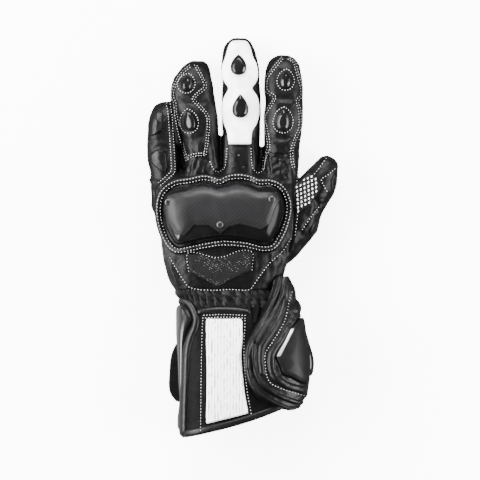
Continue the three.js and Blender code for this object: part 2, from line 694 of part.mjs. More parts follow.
function fingerPanel(form, edges) {
  const left = edges.map((row) => [row.left, row.along]);
  const right = edges.map((row) => [row.right, row.along]).reverse();
  return panelOn(onHand, onForm(form, [...left, ...right]), PANEL, SEAT);
}

// Hard drop-shaped studs: pointed towards the fingertip
const DROP = { point: 0.9, fullness: 1.28 }; // how sharp the point is, and what makes the drop full width
function drop(form, { across, along, wide, long, turn }) {
  const centre = new THREE.Vector2(across * form.width, along * form.length);
  return Array.from({ length: STUD_SIDES }, (_, i) => {
    const t = (2 * Math.PI * i) / STUD_SIDES;
    const x = (wide / 2) * Math.sin(t) * Math.sin(t / 2) ** DROP.point * DROP.fullness;
    const y = (long / 2) * Math.cos(t);
    const corner = new THREE.Vector2(x, y).rotateAround(new THREE.Vector2(), -radians(turn)).add(centre);
    return placed(form, corner.toArray());
  });
}
const STUD_STEPS = [[1, 0.4], [0.86, 0.72 * STUD_RISE], [0.45, STUD_RISE]];
const TIP = { wide: STUD_WIDTH, long: TIP_STUD_LENGTH };
const KNUCKLE = { wide: STUD_WIDTH, long: KNUCKLE_STUD_LENGTH };
const WIDER = { wide: MIDDLE_STUD_WIDTH };
const STUDS = [
  ["ring_stud_tip", ring, { ...TIP, across: -0.26, along: 0.82, turn: 14 }],
  ["ring_stud_knuckle", ring, { ...KNUCKLE, across: -0.205, along: 0.527, turn: -8 }],
  ["middle_stud_tip", middle, { ...TIP, ...WIDER, across: -0.035, along: 0.814, turn: 0 }],
  ["middle_stud_knuckle", middle, { ...KNUCKLE, ...WIDER, across: 0.012, along: 0.535, turn: 0 }],
  ["index_stud_tip", index, { ...TIP, across: 0.1, along: 0.808, turn: 4 }],
  ["index_stud_knuckle", index, { ...KNUCKLE, across: 0.03, along: 0.498, turn: 4 }],
];

// Little-finger pads, in shares of the finger's width and length
const LITTLE_PAD_TIP = [
  [-0.42, 0.84], [-0.1, 0.87], [0.09, 0.86], [0.11, 0.7], [-0.04, 0.66], [-0.42, 0.62],
];
const LITTLE_PAD_BASE = [
  [-0.42, 0.42], [-0.27, 0.47], [0.06, 0.465], [0.18, 0.36], [0.11, 0.22], [-0.04, 0.24],
  [-0.41, 0.33],
];
const PAD_STEPS = [[1, 0.5], [0.9, 0.8 * PAD_RISE], [0.72, PAD_RISE]];

// Leather bridge that ties the little finger to the ring finger
const BRIDGE_HEIGHT = 0.8; // share of the little finger's thickness
function fingerBridge() {
  const left = onForm(little, [[0.36, 0.86], [0.46, 0.68], [0.5, 0.5]]);
  const right = onForm(ring, [[-0.5, 0.6], [-0.45, 0.46], [-0.38, 0.34]]);
  const path = left.map((point, i) => [(point[0] + right[i][0]) / 2, (point[1] + right[i][1]) / 2]);
  const place = { solid: hand, top: () => LITTLE_THICKNESS * BRIDGE_HEIGHT, form: little };
  return largest(rollOn(place, smooth(path, false, ROLL_POINTS), BRIDGE_ACROSS, BRIDGE_RISE));
}

// Knuckle guard, its plate, screws and padded roll, in shares of the hand's width and the palm's length
const GUARD = [
  [-0.421, 0.75], [-0.404, 0.8], [-0.332, 0.846], [-0.235, 0.867], [-0.16, 0.896], [-0.091, 0.883],
  [-0.036, 0.863], [0.026, 0.896], [0.095, 0.908], [0.163, 0.888], [0.232, 0.85], [0.301, 0.858],
  [0.363, 0.829], [0.404, 0.758], [0.411, 0.683], [0.39, 0.567], [0.356, 0.467], [0.314, 0.4],
  [0.259, 0.392], [0.108, 0.429], [-0.015, 0.438], [-0.132, 0.421], [-0.235, 0.392], [-0.318, 0.375],
  [-0.359, 0.417], [-0.4, 0.517], [-0.424, 0.633],
];
const GUARD_ROLL = [
  [-0.445, 0.736], [-0.415, 0.82], [-0.34, 0.883], [-0.235, 0.905], [-0.146, 0.928], [-0.077, 0.915],
  [-0.036, 0.894], [0.026, 0.928], [0.108, 0.94], [0.184, 0.922], [0.239, 0.893], [0.314, 0.893],
  [0.387, 0.855], [0.43, 0.77], [0.443, 0.67], [0.425, 0.555], [0.387, 0.445], [0.335, 0.357],
  [0.266, 0.342], [0.143, 0.375], [-0.002, 0.388], [-0.132, 0.367], [-0.235, 0.342], [-0.325, 0.328],
  [-0.379, 0.375], [-0.424, 0.487], [-0.448, 0.617],
];
const PLATE = [
  [-0.416, 0.668], [-0.386, 0.781], [-0.346, 0.799], [-0.263, 0.818], [-0.207, 0.852], [-0.134, 0.859],
  [-0.051, 0.831], [0.024, 0.856], [0.088, 0.869], [0.162, 0.854], [0.236, 0.814], [0.36, 0.811],
  [0.381, 0.746], [0.347, 0.668], [0.31, 0.545], [0.254, 0.501], [0.107, 0.545], [0.032, 0.522],
  [-0.023, 0.466], [-0.106, 0.534], [-0.207, 0.534], [-0.272, 0.447], [-0.337, 0.464], [-0.389, 0.564],
];
const SCREWS = [[-0.383, 0.726], [0.326, 0.751], [-0.028, 0.539]];
const GUARD_STEPS = [
  [0.965, 2.4],
  [0.92, 0.62 * GUARD_RISE],
  [0.82, 0.86 * GUARD_RISE],
  [0.5, 0.97 * GUARD_RISE],
  [0.15, GUARD_RISE],
];

// The same guard grown gives the seats of what lies on it; its steep sides need more rise than growth.
const STEEPNESS = 1.4;
function knuckleGuard(grow = 0) {
  const spread = 1 + (2 * grow) / handWidth;
  const steps = GUARD_STEPS.map(([share, rise]) => [share * spread, rise + grow * STEEPNESS]);
  return domeOn(onHand, onForm(palm, GUARD), steps);
}

function knuckleRoll() {
  return rollOn(onHand, smooth(onForm(palm, GUARD_ROLL), true, GUARD_POINTS), ROLL_ACROSS, ROLL_RISE, true);
}

// The plate follows the guard: a grown guard cut to the plate's outline, less the guard and its gap.
function knucklePlate() {
  const outline = smooth(onForm(palm, PLATE), true, GUARD_POINTS);
  const slab = prism(outline, HAND_THICKNESS / 2, HAND_THICKNESS * 2);
  return largest(slab.intersect(knuckleGuard(GAP + PLATE_RISE)).subtract(knuckleGuard(GAP)));
}

function knuckleScrew(share) {
  const [x, y] = onForm(palm, [share])[0];
  const covered = knuckleGuard(2 * GAP + PLATE_RISE);
  const upright = (across, height, sides, z) => {
    const geometry = new THREE.CylinderGeometry(across / 2, across / 2, height, sides);
    return solidOf(geometry.rotateX(Math.PI / 2).translate(x, y, z));
  };
  const probe = upright(SCREW_HEAD, HAND_THICKNESS * 4, SCREW_SIDES, 0);
  const seat = covered.intersect(probe).boundingBox().max[2];
  const head = upright(SCREW_HEAD, 2 * SCREW_RISE, SCREW_SIDES, seat);
  const socket = upright(SCREW_SOCKET, SCREW_RISE, SOCKET_SIDES, seat + SCREW_RISE);
  return head.subtract(socket).subtract(covered);
}

const BACK_PATCH = [
  [-0.247, 0.302], [-0.169, 0.297], [-0.1, 0.272], [-0.05, 0.262], [0.015, 0.275], [0.088, 0.313],
  [0.15, 0.325], [0.19, 0.303], [0.185, 0.168], [-0.05, 0.03], [-0.238, 0.157],
];

// Thumb panels, in shares of the thumb's width and length
const THUMB_GRIP = [
  [-0.43, 0.61], [-0.31, 0.765], [-0.113, 0.751], [0.088, 0.661], [0.053, 0.514], [-0.125, 0.38],
  [-0.285, 0.47],
];
const THUMB_PAD_TIP = [
  [0.22, 0.8], [0.36, 0.82], [0.44, 0.74], [0.45, 0.62], [0.36, 0.6], [0.28, 0.66],
];
const THUMB_PAD_BASE = [
  [0.22, 0.34], [0.36, 0.38], [0.45, 0.3], [0.46, 0.16], [0.36, 0.13], [0.26, 0.2],
];

// Finishes
const finish = (color, roughness, metalness = 0) =>
  new THREE.MeshStandardMaterial({ color, roughness, metalness });
const blackLeather = finish(0x1b1b1d, 0.5);
const whiteLeather = finish(0xf2f2f2, 0.5);
const hardBlack = finish(0x0c0c0d, 0.12);
const plateBlack = finish(0x2c2c2e, 0.3);
const steel = finish(0x6c6c70, 0.35, 0.9);
const suede = finish(0x1d1d1e, 0.9);

const gauntlet = new THREE.Group();
function add(name, solid, material) {
  const mesh = new THREE.Mesh(geometryOf(largest(solid.simplify(FINENESS))), material);
  mesh.name = name;
  gauntlet.add(mesh);
}

add("hand_body", handBody(), blackLeather);
for (const [name, form] of Object.entries(fingers)) {
  add(`${name}_finger_stall`, fingerStall(form), blackLeather);
}
add("thumb_stall", thumbStall(), blackLeather);
add("finger_bridge", fingerBridge(), blackLeather);
add("wrist_gather", wristGather(), blackLeather);
add("ring_finger_panel", fingerPanel(ring, RING_PANEL), blackLeather);
add("middle_finger_panel", fingerPanel(middle, MIDDLE_PANEL), whiteLeather);
add("index_finger_panel", fingerPanel(index, INDEX_PANEL), blackLeather);
for (const [name, form, spot] of STUDS) {
  add(name, domeOn(onHand, drop(form, spot), STUD_STEPS, { seat: SECOND_SEAT }), hardBlack);
}
add("little_pad_tip", domeOn(onHand, onForm(little, LITTLE_PAD_TIP), PAD_STEPS), blackLeather);
add("little_pad_base", domeOn(onHand, onForm(little, LITTLE_PAD_BASE), PAD_STEPS), blackLeather);
add("knuckle_guard", knuckleGuard(), hardBlack);
add("knuckle_plate", knucklePlate(), plateBlack);
SCREWS.forEach((share, i) => add(`knuckle_screw_${i + 1}`, knuckleScrew(share), steel));
add("knuckle_roll", knuckleRoll(), blackLeather);
add("back_patch", panelOn(onHand, onForm(palm, BACK_PATCH), PATCH, SEAT), suede);
add("thumb_grip_panel", panelOn({ ...onHand, form: thumb }, onForm(thumb, THUMB_GRIP), PATCH, SEAT), suede);
add("thumb_pad_tip", domeOn(onHand, onForm(thumb, THUMB_PAD_TIP), PAD_STEPS), blackLeather);
add("thumb_pad_base", domeOn(onHand, onForm(thumb, THUMB_PAD_BASE), PAD_STEPS), blackLeather);
add("cuff_shell", cuffShell(), blackLeather);
add("cuff_hem", cuffHem(), blackLeather);
add("cuff_white_panel", cuffWhitePanel(), whiteLeather);
add("cuff_pad", cuffPad(), blackLeather);
add("cuff_guard", domeOn(onCuff, onForm(cuff, CUFF_GUARD), GUARD_EDGE), hardBlack);
add("cuff_side_guard", cuffSideGuard(), hardBlack);
add("cuff_edge_guard", cuffEdgeGuard(), hardBlack);
add("cuff_edge_roll", cuffEdgeRoll(), blackLeather);
add("cuff_strap", cuffStrap(), blackLeather);

// The outline's centre goes to the origin, and the lowest point to the table.
const box = new THREE.Box3().setFromObject(gauntlet);
gauntlet.position.set(-(box.min.x + box.max.x) / 2, -(box.min.y + box.max.y) / 2, -box.min.z);

export default gauntlet;
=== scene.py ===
"""Builds the look of a leather riding gauntlet for the left hand around its CAD model."""

import math

import bmesh
import bpy
import numpy as np
from mathutils import Matrix, Vector
from mathutils.bvhtree import BVHTree
from mathutils.geometry import delaunay_2d_cdt


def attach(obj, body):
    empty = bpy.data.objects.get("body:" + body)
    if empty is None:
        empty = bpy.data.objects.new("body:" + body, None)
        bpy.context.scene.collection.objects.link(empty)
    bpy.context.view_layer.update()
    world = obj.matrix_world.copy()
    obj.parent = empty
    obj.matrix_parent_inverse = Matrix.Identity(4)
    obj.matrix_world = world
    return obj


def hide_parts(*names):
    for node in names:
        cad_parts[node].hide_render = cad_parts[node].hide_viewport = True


bl_info = {
    "name": "Riding gauntlet",
    "version": (1, 0, 0),
    "blender": (4, 5, 0),
    "location": "View3D > Sidebar > Gauntlet",
    "description": "Hide, panels, guards, padding, stitching and stage of a leather riding gauntlet",
    "category": "Object",
}

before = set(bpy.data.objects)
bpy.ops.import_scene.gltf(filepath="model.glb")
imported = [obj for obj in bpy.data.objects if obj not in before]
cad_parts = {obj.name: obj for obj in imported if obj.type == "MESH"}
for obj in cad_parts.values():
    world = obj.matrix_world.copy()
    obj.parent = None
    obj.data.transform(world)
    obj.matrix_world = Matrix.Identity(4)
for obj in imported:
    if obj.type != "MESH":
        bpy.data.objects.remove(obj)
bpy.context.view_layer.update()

MM = 0.001
MARK = 0.75  # mm; the sheet that places are marked on has marks this far apart
SHEET_CENTRE = (242.41, 237.2)  # the mark over the frame's origin

# The CAD model's own sizes, in mm
LITTLE_WIDTH, RING_WIDTH, MIDDLE_WIDTH, INDEX_WIDTH = 20.4, 32.2, 30.0, 28.5
LITTLE_X = LITTLE_WIDTH / 2
RING_X = LITTLE_X + (LITTLE_WIDTH + RING_WIDTH) / 2 + 0.4
MIDDLE_X = RING_X + (RING_WIDTH + MIDDLE_WIDTH) / 2 + 0.4
INDEX_X = MIDDLE_X + (MIDDLE_WIDTH + INDEX_WIDTH) / 2 + 2.2
HAND_LEFT, HAND_RIGHT = 2.4, INDEX_X + INDEX_WIDTH / 2 - 3.0
HAND_MIDDLE, HAND_WIDTH = (HAND_LEFT + HAND_RIGHT) / 2, HAND_RIGHT - HAND_LEFT
PALM_LENGTH, HAND_THICKNESS = 90.0, 38.0
FINGER_THICKNESS, LITTLE_THICKNESS = 26.0, 23.0
WALL = 2.4
GATHER_LENGTH = 8.0
CUFF_LENGTH, CUFF_WIDTH, CUFF_THICKNESS = 90.8, 94.5, 50.0
CUFF_FLOOR = 2.7
HEM_SLANT = math.tan(math.radians(13.5))
HEM_BOW = 4.4  # how much the hem turns up at the thumb side
BOW_START, BOW_REACH = -20, 47  # where that begins, across the cuff, and the way to its full height
HIDE_END = 0.985  # share of the cuff's length where its hide and panels stop, inside the hem
ORIGIN = (-70.29, -39.37)  # where the CAD model's own zero stands in the frame


# Forms: the same lofts as the CAD model's, drawn smooth


def full_turn(count):
    """Evenly spread angles of a whole turn."""
    return np.linspace(0, 2 * math.pi, count, endpoint=False)


def bent(wave, power):
    """A sine or cosine drawn out towards its ends, which squares a round section."""
    return np.sign(wave) * np.abs(wave) ** (2 / power)


def unit(vectors):
    return vectors / np.linalg.norm(vectors, axis=-1)[..., None]


class Form:
    """A loft through sections whose shift, width, low and high are shares of its own sizes."""

    def __init__(self, base, length, width, thickness, power, rows, lean=0.0, heading=1.0, floor=0.0):
        self.base = (base[0] + ORIGIN[0], base[1] + ORIGIN[1])
        self.length, self.width, self.thickness = length, width, thickness
        self.power, self.heading, self.floor = power, heading, floor
        self.lean = math.radians(lean)
        self.rows = np.array(rows, float)

    def section(self, along):
        """Shift, width, low and high at any share of the length, smooth between the rows."""
        t, values = self.rows[:, 0], self.rows[:, 1:]
        slope = np.gradient(values, t, axis=0)
        along = np.clip(along, t[0], t[-1])
        k = np.clip(np.searchsorted(t, along) - 1, 0, len(t) - 2)
        span = (t[k + 1] - t[k])[:, None]
        u = ((along - t[k]) / (t[k + 1] - t[k]))[:, None]
        a, b, da, db = values[k], values[k + 1], slope[k] * span, slope[k + 1] * span
        bend = a + (b - a) * (3 * u**2 - 2 * u**3) + da * u * (1 - u) ** 2 - db * u**2 * (1 - u)
        return (bend * 0.7 + (a + (b - a) * u) * 0.3).T

    def place(self, across, along):
        """Frame x and y of a point given across and along the form, in mm."""
        c, s = math.cos(self.lean), math.sin(self.lean)
        return self.base[0] + across * c + along * s, self.base[1] - across * s + along * c

    def on(self, shares):
        """Frame outline from shares of the form's width and length."""
        return [self.place(a * self.width, b * self.length * self.heading) for a, b in shares]

    def rings(self, grow, steps, around, start=None):
        """Rings of points round the form, closer together towards its tip, in mm."""
        first = self.rows[0, 0] if start is None else start
        along = first + (self.rows[-1, 0] - first) * np.sin(np.linspace(0, 1, steps) * math.pi / 2)
        shift, wide, low, high = self.section(along)
        turn = full_turn(around)
        half_wide = np.maximum(wide * self.width / 2 + grow, 0.5)[:, None]
        half_tall = np.maximum((high - low) * self.thickness / 2 + grow, 0.5)[:, None]
        across = shift[:, None] * self.width + half_wide * bent(np.cos(turn), self.power)
        up = ((high + low) * self.thickness / 2)[:, None] + half_tall * bent(np.sin(turn), self.power)
        x, y = self.place(across, (self.heading * along * (self.length + grow))[:, None] + 0 * across)
        return np.stack([x, y, np.maximum(up, self.floor - grow)], -1)


PALM = Form(
    (HAND_MIDDLE, 0), PALM_LENGTH, HAND_WIDTH, HAND_THICKNESS, 2.7,
    [
        (0.0, 0.014, 0.704, 0.04, 0.86), (0.09, 0.009, 0.779, -0.02, 0.9), (0.2, 0.009, 0.829, -0.06, 0.94),
        (0.333, 0.016, 0.884, -0.1, 0.97), (0.458, 0.028, 0.926, -0.1, 0.99), (0.625, 0.013, 0.983, -0.1, 1.0),
        (0.69, 0.003, 1.004, -0.1, 0.985), (0.76, 0.002, 1.004, -0.1, 0.97), (0.87, 0.0, 1.005, -0.08, 0.86),
        (0.935, -0.002, 0.99, 0.0, 0.66), (0.983, 0.09, 0.68, 0.14, 0.5), (1.008, 0.09, 0.5, 0.22, 0.4),
    ],
)
LITTLE = Form(
    (LITTLE_X, 0.817 * PALM_LENGTH), 67.5, LITTLE_WIDTH, LITTLE_THICKNESS, 2.35,
    [
        (0.0, 0.09, 0.86, 0.0, 1.0), (0.2, 0.08, 1.0, -0.04, 1.02), (0.356, 0.02, 1.1, 0.0, 1.03),
        (0.5, 0.002, 1.085, 0.04, 1.04), (0.667, -0.01, 1.03, 0.05, 1.02), (0.8, 0.013, 1.0, 0.0, 0.95),
        (0.9, 0.07, 0.88, 0.0, 0.83), (0.96, 0.1, 0.66, 0.08, 0.66), (0.998, 0.14, 0.36, 0.28, 0.42),
    ],
)
RING = Form(
    (RING_X, 0.833 * PALM_LENGTH), 97.0, RING_WIDTH, FINGER_THICKNESS, 2.35,
    [
        (0.0, 0.09, 0.75, 0.0, 1.02), (0.171, 0.112, 0.79, -0.04, 1.02), (0.31, 0.09, 0.78, 0.0, 1.03),
        (0.465, 0.04, 0.85, 0.05, 1.05), (0.581, -0.016, 0.905, 0.07, 1.06), (0.7, -0.123, 0.992, 0.05, 1.0),
        (0.8, -0.138, 0.941, 0.0, 0.98), (0.88, -0.116, 0.81, -0.02, 0.88), (0.94, -0.064, 0.618, 0.0, 0.76),
        (0.976, -0.035, 0.44, 0.08, 0.6), (0.998, -0.03, 0.22, 0.24, 0.4),
    ],
)
MIDDLE = Form(
    (MIDDLE_X, 0.867 * PALM_LENGTH), 111.0, MIDDLE_WIDTH, FINGER_THICKNESS, 2.35,
    [
        (0.0, -0.01, 0.86, 0.0, 1.03), (0.122, 0.002, 0.89, -0.04, 1.03), (0.243, 0.024, 0.9, 0.0, 1.04),
        (0.378, 0.036, 0.906, 0.06, 1.06), (0.5, 0.033, 0.931, 0.08, 1.08), (0.6, 0.036, 0.935, 0.06, 1.03),
        (0.689, 0.028, 0.893, 0.02, 0.99), (0.79, 0.008, 0.93, 0.0, 0.98), (0.875, -0.008, 0.815, -0.02, 0.87),
        (0.94, -0.022, 0.69, 0.0, 0.76), (0.98, -0.02, 0.5, 0.08, 0.6), (0.998, -0.018, 0.29, 0.24, 0.4),
    ],
)
INDEX = Form(
    (INDEX_X, 0.867 * PALM_LENGTH), 98.0, INDEX_WIDTH, FINGER_THICKNESS, 2.35,
    [
        (0.0, -0.02, 0.83, 0.0, 1.03), (0.123, -0.023, 0.874, -0.04, 1.03), (0.277, 0.0, 0.907, 0.0, 1.04),
        (0.4, 0.026, 0.949, 0.06, 1.06), (0.52, 0.044, 0.986, 0.07, 1.07), (0.64, 0.063, 0.94, 0.05, 1.02),
        (0.74, 0.05, 1.002, 0.0, 0.98), (0.86, 0.044, 0.916, -0.02, 0.88), (0.93, 0.042, 0.79, 0.0, 0.77),
        (0.975, 0.038, 0.56, 0.08, 0.6), (0.998, 0.045, 0.27, 0.24, 0.4),
    ],
)
THUMB = Form(
    (HAND_MIDDLE + 0.4 * HAND_WIDTH, 0.333 * PALM_LENGTH), 78.3, 33.0, 27.0, 2.3,
    [
        (-0.12, -0.04, 0.5, 0.0, 0.86), (0.0, -0.045, 0.77, -0.04, 0.96), (0.14, -0.03, 0.885, -0.06, 1.02),
        (0.3, 0.012, 0.96, -0.06, 1.04), (0.45, -0.03, 0.895, -0.04, 1.03), (0.58, -0.01, 0.864, 0.0, 1.0),
        (0.71, 0.036, 0.8, 0.02, 0.97), (0.82, 0.042, 0.667, 0.02, 0.92), (0.91, 0.04, 0.485, 0.05, 0.82),
        (0.97, 0.026, 0.36, 0.14, 0.68), (0.998, 0.01, 0.18, 0.3, 0.46),
    ],
    lean=27.5,
)


def cuff_form(rows):
    """A loft from the wrist down to the hem."""
    base = (HAND_MIDDLE + 0.133 * HAND_WIDTH, -GATHER_LENGTH)
    return Form(base, CUFF_LENGTH, CUFF_WIDTH, CUFF_THICKNESS, 2.5, rows, heading=-1.0, floor=CUFF_FLOOR)


CUFF = cuff_form(
    [
        (-0.02, -0.095, 0.79, 0.05, 0.66), (0.0, -0.095, 0.8, 0.05, 0.67), (0.09, -0.05, 0.89, 0.03, 0.76),
        (0.25, -0.012, 0.965, 0.0, 0.87), (0.45, 0.003, 0.995, -0.02, 0.95), (0.65, 0.004, 1.0, -0.02, 0.99),
        (0.85, -0.01, 0.975, -0.02, 1.0), (1.0, -0.025, 0.945, -0.02, 0.99), (1.07, -0.045, 0.9, -0.02, 0.99),
        (1.14, -0.045, 0.84, -0.02, 0.98), (1.25, -0.045, 0.74, -0.02, 0.98),
    ]
)
HAND_FORMS = [PALM, LITTLE, RING, MIDDLE, INDEX, THUMB]


def sheet(points):
    """Frame x and y, in mm, of places marked on the sheet."""
    return [((x - SHEET_CENTRE[0]) * MARK, (SHEET_CENTRE[1] - y) * MARK) for x, y in points]


def smooth_line(points, step=0.8, closed=False):
    """Evenly spaced points on a smooth curve through the given ones."""
    p = np.array(points, float)
    n = len(p)
    spans = n if closed else n - 1
    out = []
    for i in range(spans):
        a, b, c, d = (p[(i + k) % n] if closed else p[min(max(i + k, 0), n - 1)] for k in (-1, 0, 1, 2))
        gap = max(np.linalg.norm(c - b), 1e-6)
        ma = (c - a) * gap / max(np.linalg.norm(c - b) + np.linalg.norm(b - a), 1e-6)
        mb = (d - b) * gap / max(np.linalg.norm(d - c) + np.linalg.norm(c - b), 1e-6)
        t = np.linspace(0, 1, 16, endpoint=False)[:, None]
        leave = (2 * t**3 - 3 * t**2 + 1) * b + (t**3 - 2 * t**2 + t) * ma
        out.append(leave + (3 * t**2 - 2 * t**3) * c + (t**3 - t**2) * mb)
    line = np.concatenate(out + [p[:1] if closed else p[-1:]])
    length = np.concatenate([[0], np.cumsum(np.linalg.norm(np.diff(line, axis=0), axis=1))])
    count = max(int(round(length[-1] / step)), 2)
    at = np.linspace(0, length[-1], count + 1)
    even = np.stack([np.interp(at, length, line[:, k]) for k in range(line.shape[1])], -1)
    return even[:-1] if closed else even


def crisp(points, share=0.14):
    """Extra points close to each corner of an outline, so that a smooth line keeps it."""
    a = np.array(points, float)
    b = np.roll(a, -1, axis=0)
    return np.stack([a, a + (b - a) * share, b - (b - a) * share], 1).reshape(-1, 2)


def near_line(points, line, closed=False):
    """Distance of each point to a polyline."""
    a = np.asarray(line)
    b = np.roll(a, -1, axis=0) if closed else a[1:]
    best = np.full(len(points), np.inf)
    for start, end in zip(a, b):
        d = end - start
        rel = points - start
        t = np.clip(rel @ d / max(d @ d, 1e-9), 0, 1)
        away = rel - t[:, None] * d
        best = np.minimum(best, np.hypot(away[:, 0], away[:, 1]))
    return best


def sideways(line, closed):
    """Unit vectors to the left of a line, one at each of its points."""
    t = np.roll(line, -1, 0) - np.roll(line, 1, 0)
    if not closed:
        t[0], t[-1] = line[1] - line[0], line[-1] - line[-2]
    return unit(np.stack([-t[:, 1], t[:, 0]], -1))


def inside(points, outline):
    """Which points lie inside a closed outline."""
    x, y = points[:, 0], points[:, 1]
    hit = np.zeros(len(points), bool)
    a, b = np.asarray(outline), np.roll(outline, -1, axis=0)
    for (ax, ay), (bx, by) in zip(a, b):
        cross = (ay > y) != (by > y)
        with np.errstate(divide="ignore", invalid="ignore"):
            hit ^= cross & (x < (bx - ax) * (y - ay) / (by - ay) + ax)
    return hit


def ease(value, low, high):
    """A smooth step from 0 at low to 1 at high."""
    t = np.clip((value - low) / (high - low), 0, 1)
    return t * t * (3 - 2 * t)


RIPPLE_PEAK = 4.5  # height that seven waves together seldom pass


def ripple(points, size, seed):
    """Smooth noise between -1 and 1 over points in mm, the same on every run."""
    rng = np.random.RandomState(seed)
    out = np.zeros(len(points))
    for _ in range(7):
        way = rng.normal(size=3)
        way /= np.linalg.norm(way)
        out += np.sin(points @ way * 2 * math.pi / (size * rng.uniform(0.7, 1.5)) + rng.uniform(0, 6.28))
    return out / RIPPLE_PEAK


# Meshes


def linked(name, data):
    """A new object in the scene that shows the data."""
    obj = bpy.data.objects.new(name, data)
    bpy.context.scene.collection.objects.link(obj)
    return obj


def from_bmesh(name, bm):
    mesh = bpy.data.meshes.new(name)
    bm.to_mesh(mesh)
    bm.free()
    return linked(name, mesh)


def shade(mesh, smooth):
    mesh.polygons.foreach_set("use_smooth", [smooth] * len(mesh.polygons))


def new_object(name, verts, faces):
    """An object from points in mm."""
    mesh = bpy.data.meshes.new(name)
    mesh.from_pydata((np.asarray(verts) * MM).tolist(), [], faces)
    mesh.validate()
    shade(mesh, True)
    return linked(name, mesh)


def cut_out(obj, tool, solver):
    """Takes the tool's form out of the object, and the tool out of the scene."""
    cut = obj.modifiers.new("Cut", "BOOLEAN")
    cut.operation, cut.object, cut.solver = "DIFFERENCE", tool, solver
    applied(obj)
    bpy.data.objects.remove(tool)


def grid_faces(rings, around, close_rings=False, offset=0, flip=False):
    """Quads of a grid of rings; the last ring can join the first."""
    r = np.arange(rings if close_rings else rings - 1)[:, None]
    i = np.arange(around)[None, :]
    j = (i + 1) % around
    n = (r + 1) % rings
    quads = np.stack([r * around + i, r * around + j, n * around + j, n * around + i], -1)
    quads = quads.reshape(-1, 4) + offset
    return (quads[:, ::-1] if flip else quads).tolist()


def mend_normals(obj):
    """Joins doubled points and turns all faces outward."""
    bm = bmesh.new()
    bm.from_mesh(obj.data)
    bmesh.ops.remove_doubles(bm, verts=bm.verts, dist=1e-6)
    bmesh.ops.recalc_face_normals(bm, faces=bm.faces)
    if bm.calc_volume(signed=True) < 0:
        bmesh.ops.reverse_faces(bm, faces=bm.faces)
    bm.to_mesh(obj.data)
    bm.free()
    return obj


def slab(name, top, under, faces):
    """A closed solid between a sheet of faces and the same sheet through other points."""
    count = len(top)
    edges = dict.fromkeys((a, b) for f in faces for a, b in zip(f, f[1:] + f[:1]))
    back = [[i + count for i in reversed(f)] for f in faces]
    walls = [(b, a, a + count, b + count) for a, b in edges if (b, a) not in edges]
    return mend_normals(new_object(name, np.concatenate([top, under]), faces + back + walls))


def capped(name, rings):
    """A closed solid from rings, with a fan at each end."""
    count, around = rings.shape[:2]
    verts = rings.reshape(-1, 3)
    ends = np.array([rings[0].mean(0), rings[-1].mean(0)])
    faces = grid_faces(count, around)
    first, last = len(verts), len(verts) + 1
    top = (count - 1) * around
    for i in range(around):
        j = (i + 1) % around
        faces += [(first, j, i), (last, top + i, top + j)]
    return mend_normals(new_object(name, np.concatenate([verts, ends]), faces))


def sleeve(name, outer, inner):
    """A wall between an outer and an inner set of rings, open at both ends."""
    n_out, around = outer.shape[:2]
    n_in = inner.shape[0]
    verts = np.concatenate([outer.reshape(-1, 3), inner.reshape(-1, 3)])
    start = n_out * around
    faces = grid_faces(n_out, around) + grid_faces(n_in, around, offset=start, flip=True)
    for ring_out, ring_in in ((0, start), ((n_out - 1) * around, start + (n_in - 1) * around)):
        for i in range(around):
            j = (i + 1) % around
            faces.append((ring_out + i, ring_out + j, ring_in + j, ring_in + i))
    return mend_normals(new_object(name, verts, faces))


def applied(obj):
    """The object with its modifiers made part of a new mesh."""
    evaluated = obj.evaluated_get(bpy.context.evaluated_depsgraph_get())
    mesh = bpy.data.meshes.new_from_object(evaluated)
    obj.modifiers.clear()
    old = obj.data
    obj.data = mesh
    mesh.name = obj.name
    if old.users == 0:
        bpy.data.meshes.remove(old)
    return obj


def merged(objects, name):
    """One object from several, which are removed."""
    bm = bmesh.new()
    for obj in objects:
        bm.from_mesh(obj.data)
        bpy.data.objects.remove(obj)
    return from_bmesh(name, bm)


def remeshed(obj, voxel):
    """The object with one closed skin of small cells, which grows its parts together."""
    modifier = obj.modifiers.new("Remesh", "REMESH")
    modifier.mode = "VOXEL"
    modifier.voxel_size = voxel * MM
    return applied(obj)


def points_of(obj):
    """The mesh's points in mm and their normals."""
    both = []
    for key in ("co", "normal"):
        values = np.empty(len(obj.data.vertices) * 3)
        obj.data.vertices.foreach_get(key, values)
        both.append(values.reshape(-1, 3))
    return both[0] / MM, both[1]


def move_points(obj, points):
    obj.data.vertices.foreach_set("co", (points * MM).ravel())
    obj.data.update()


SHRINK, SWELL = 0.6, -0.35  # shares of the way to the neighbours' mean, in turn, so that nothing gets thinner


def relaxed(obj, times):
    """Evens a dense mesh out by moving each point towards its neighbours' mean."""
    v, _ = points_of(obj)
    e = np.empty(len(obj.data.edges) * 2, int)
    obj.data.edges.foreach_get("vertices", e)
    e = e.reshape(-1, 2)
    valence = np.bincount(e.ravel(), minlength=len(v))[:, None]
    for k in range(times):
        sums = []
        for c in range(3):
            ahead, back = v[e[:, 1], c], v[e[:, 0], c]
            sums.append(np.bincount(e[:, 0], ahead, len(v)) + np.bincount(e[:, 1], back, len(v)))
        mean = np.stack(sums, -1) / np.maximum(valence, 1)
        v = v + (mean - v) * (SHRINK if k % 2 == 0 else SWELL)
    move_points(obj, v)


# The relief: height of the glove's upper side over a fine grid, for all that is laid or sewn on it


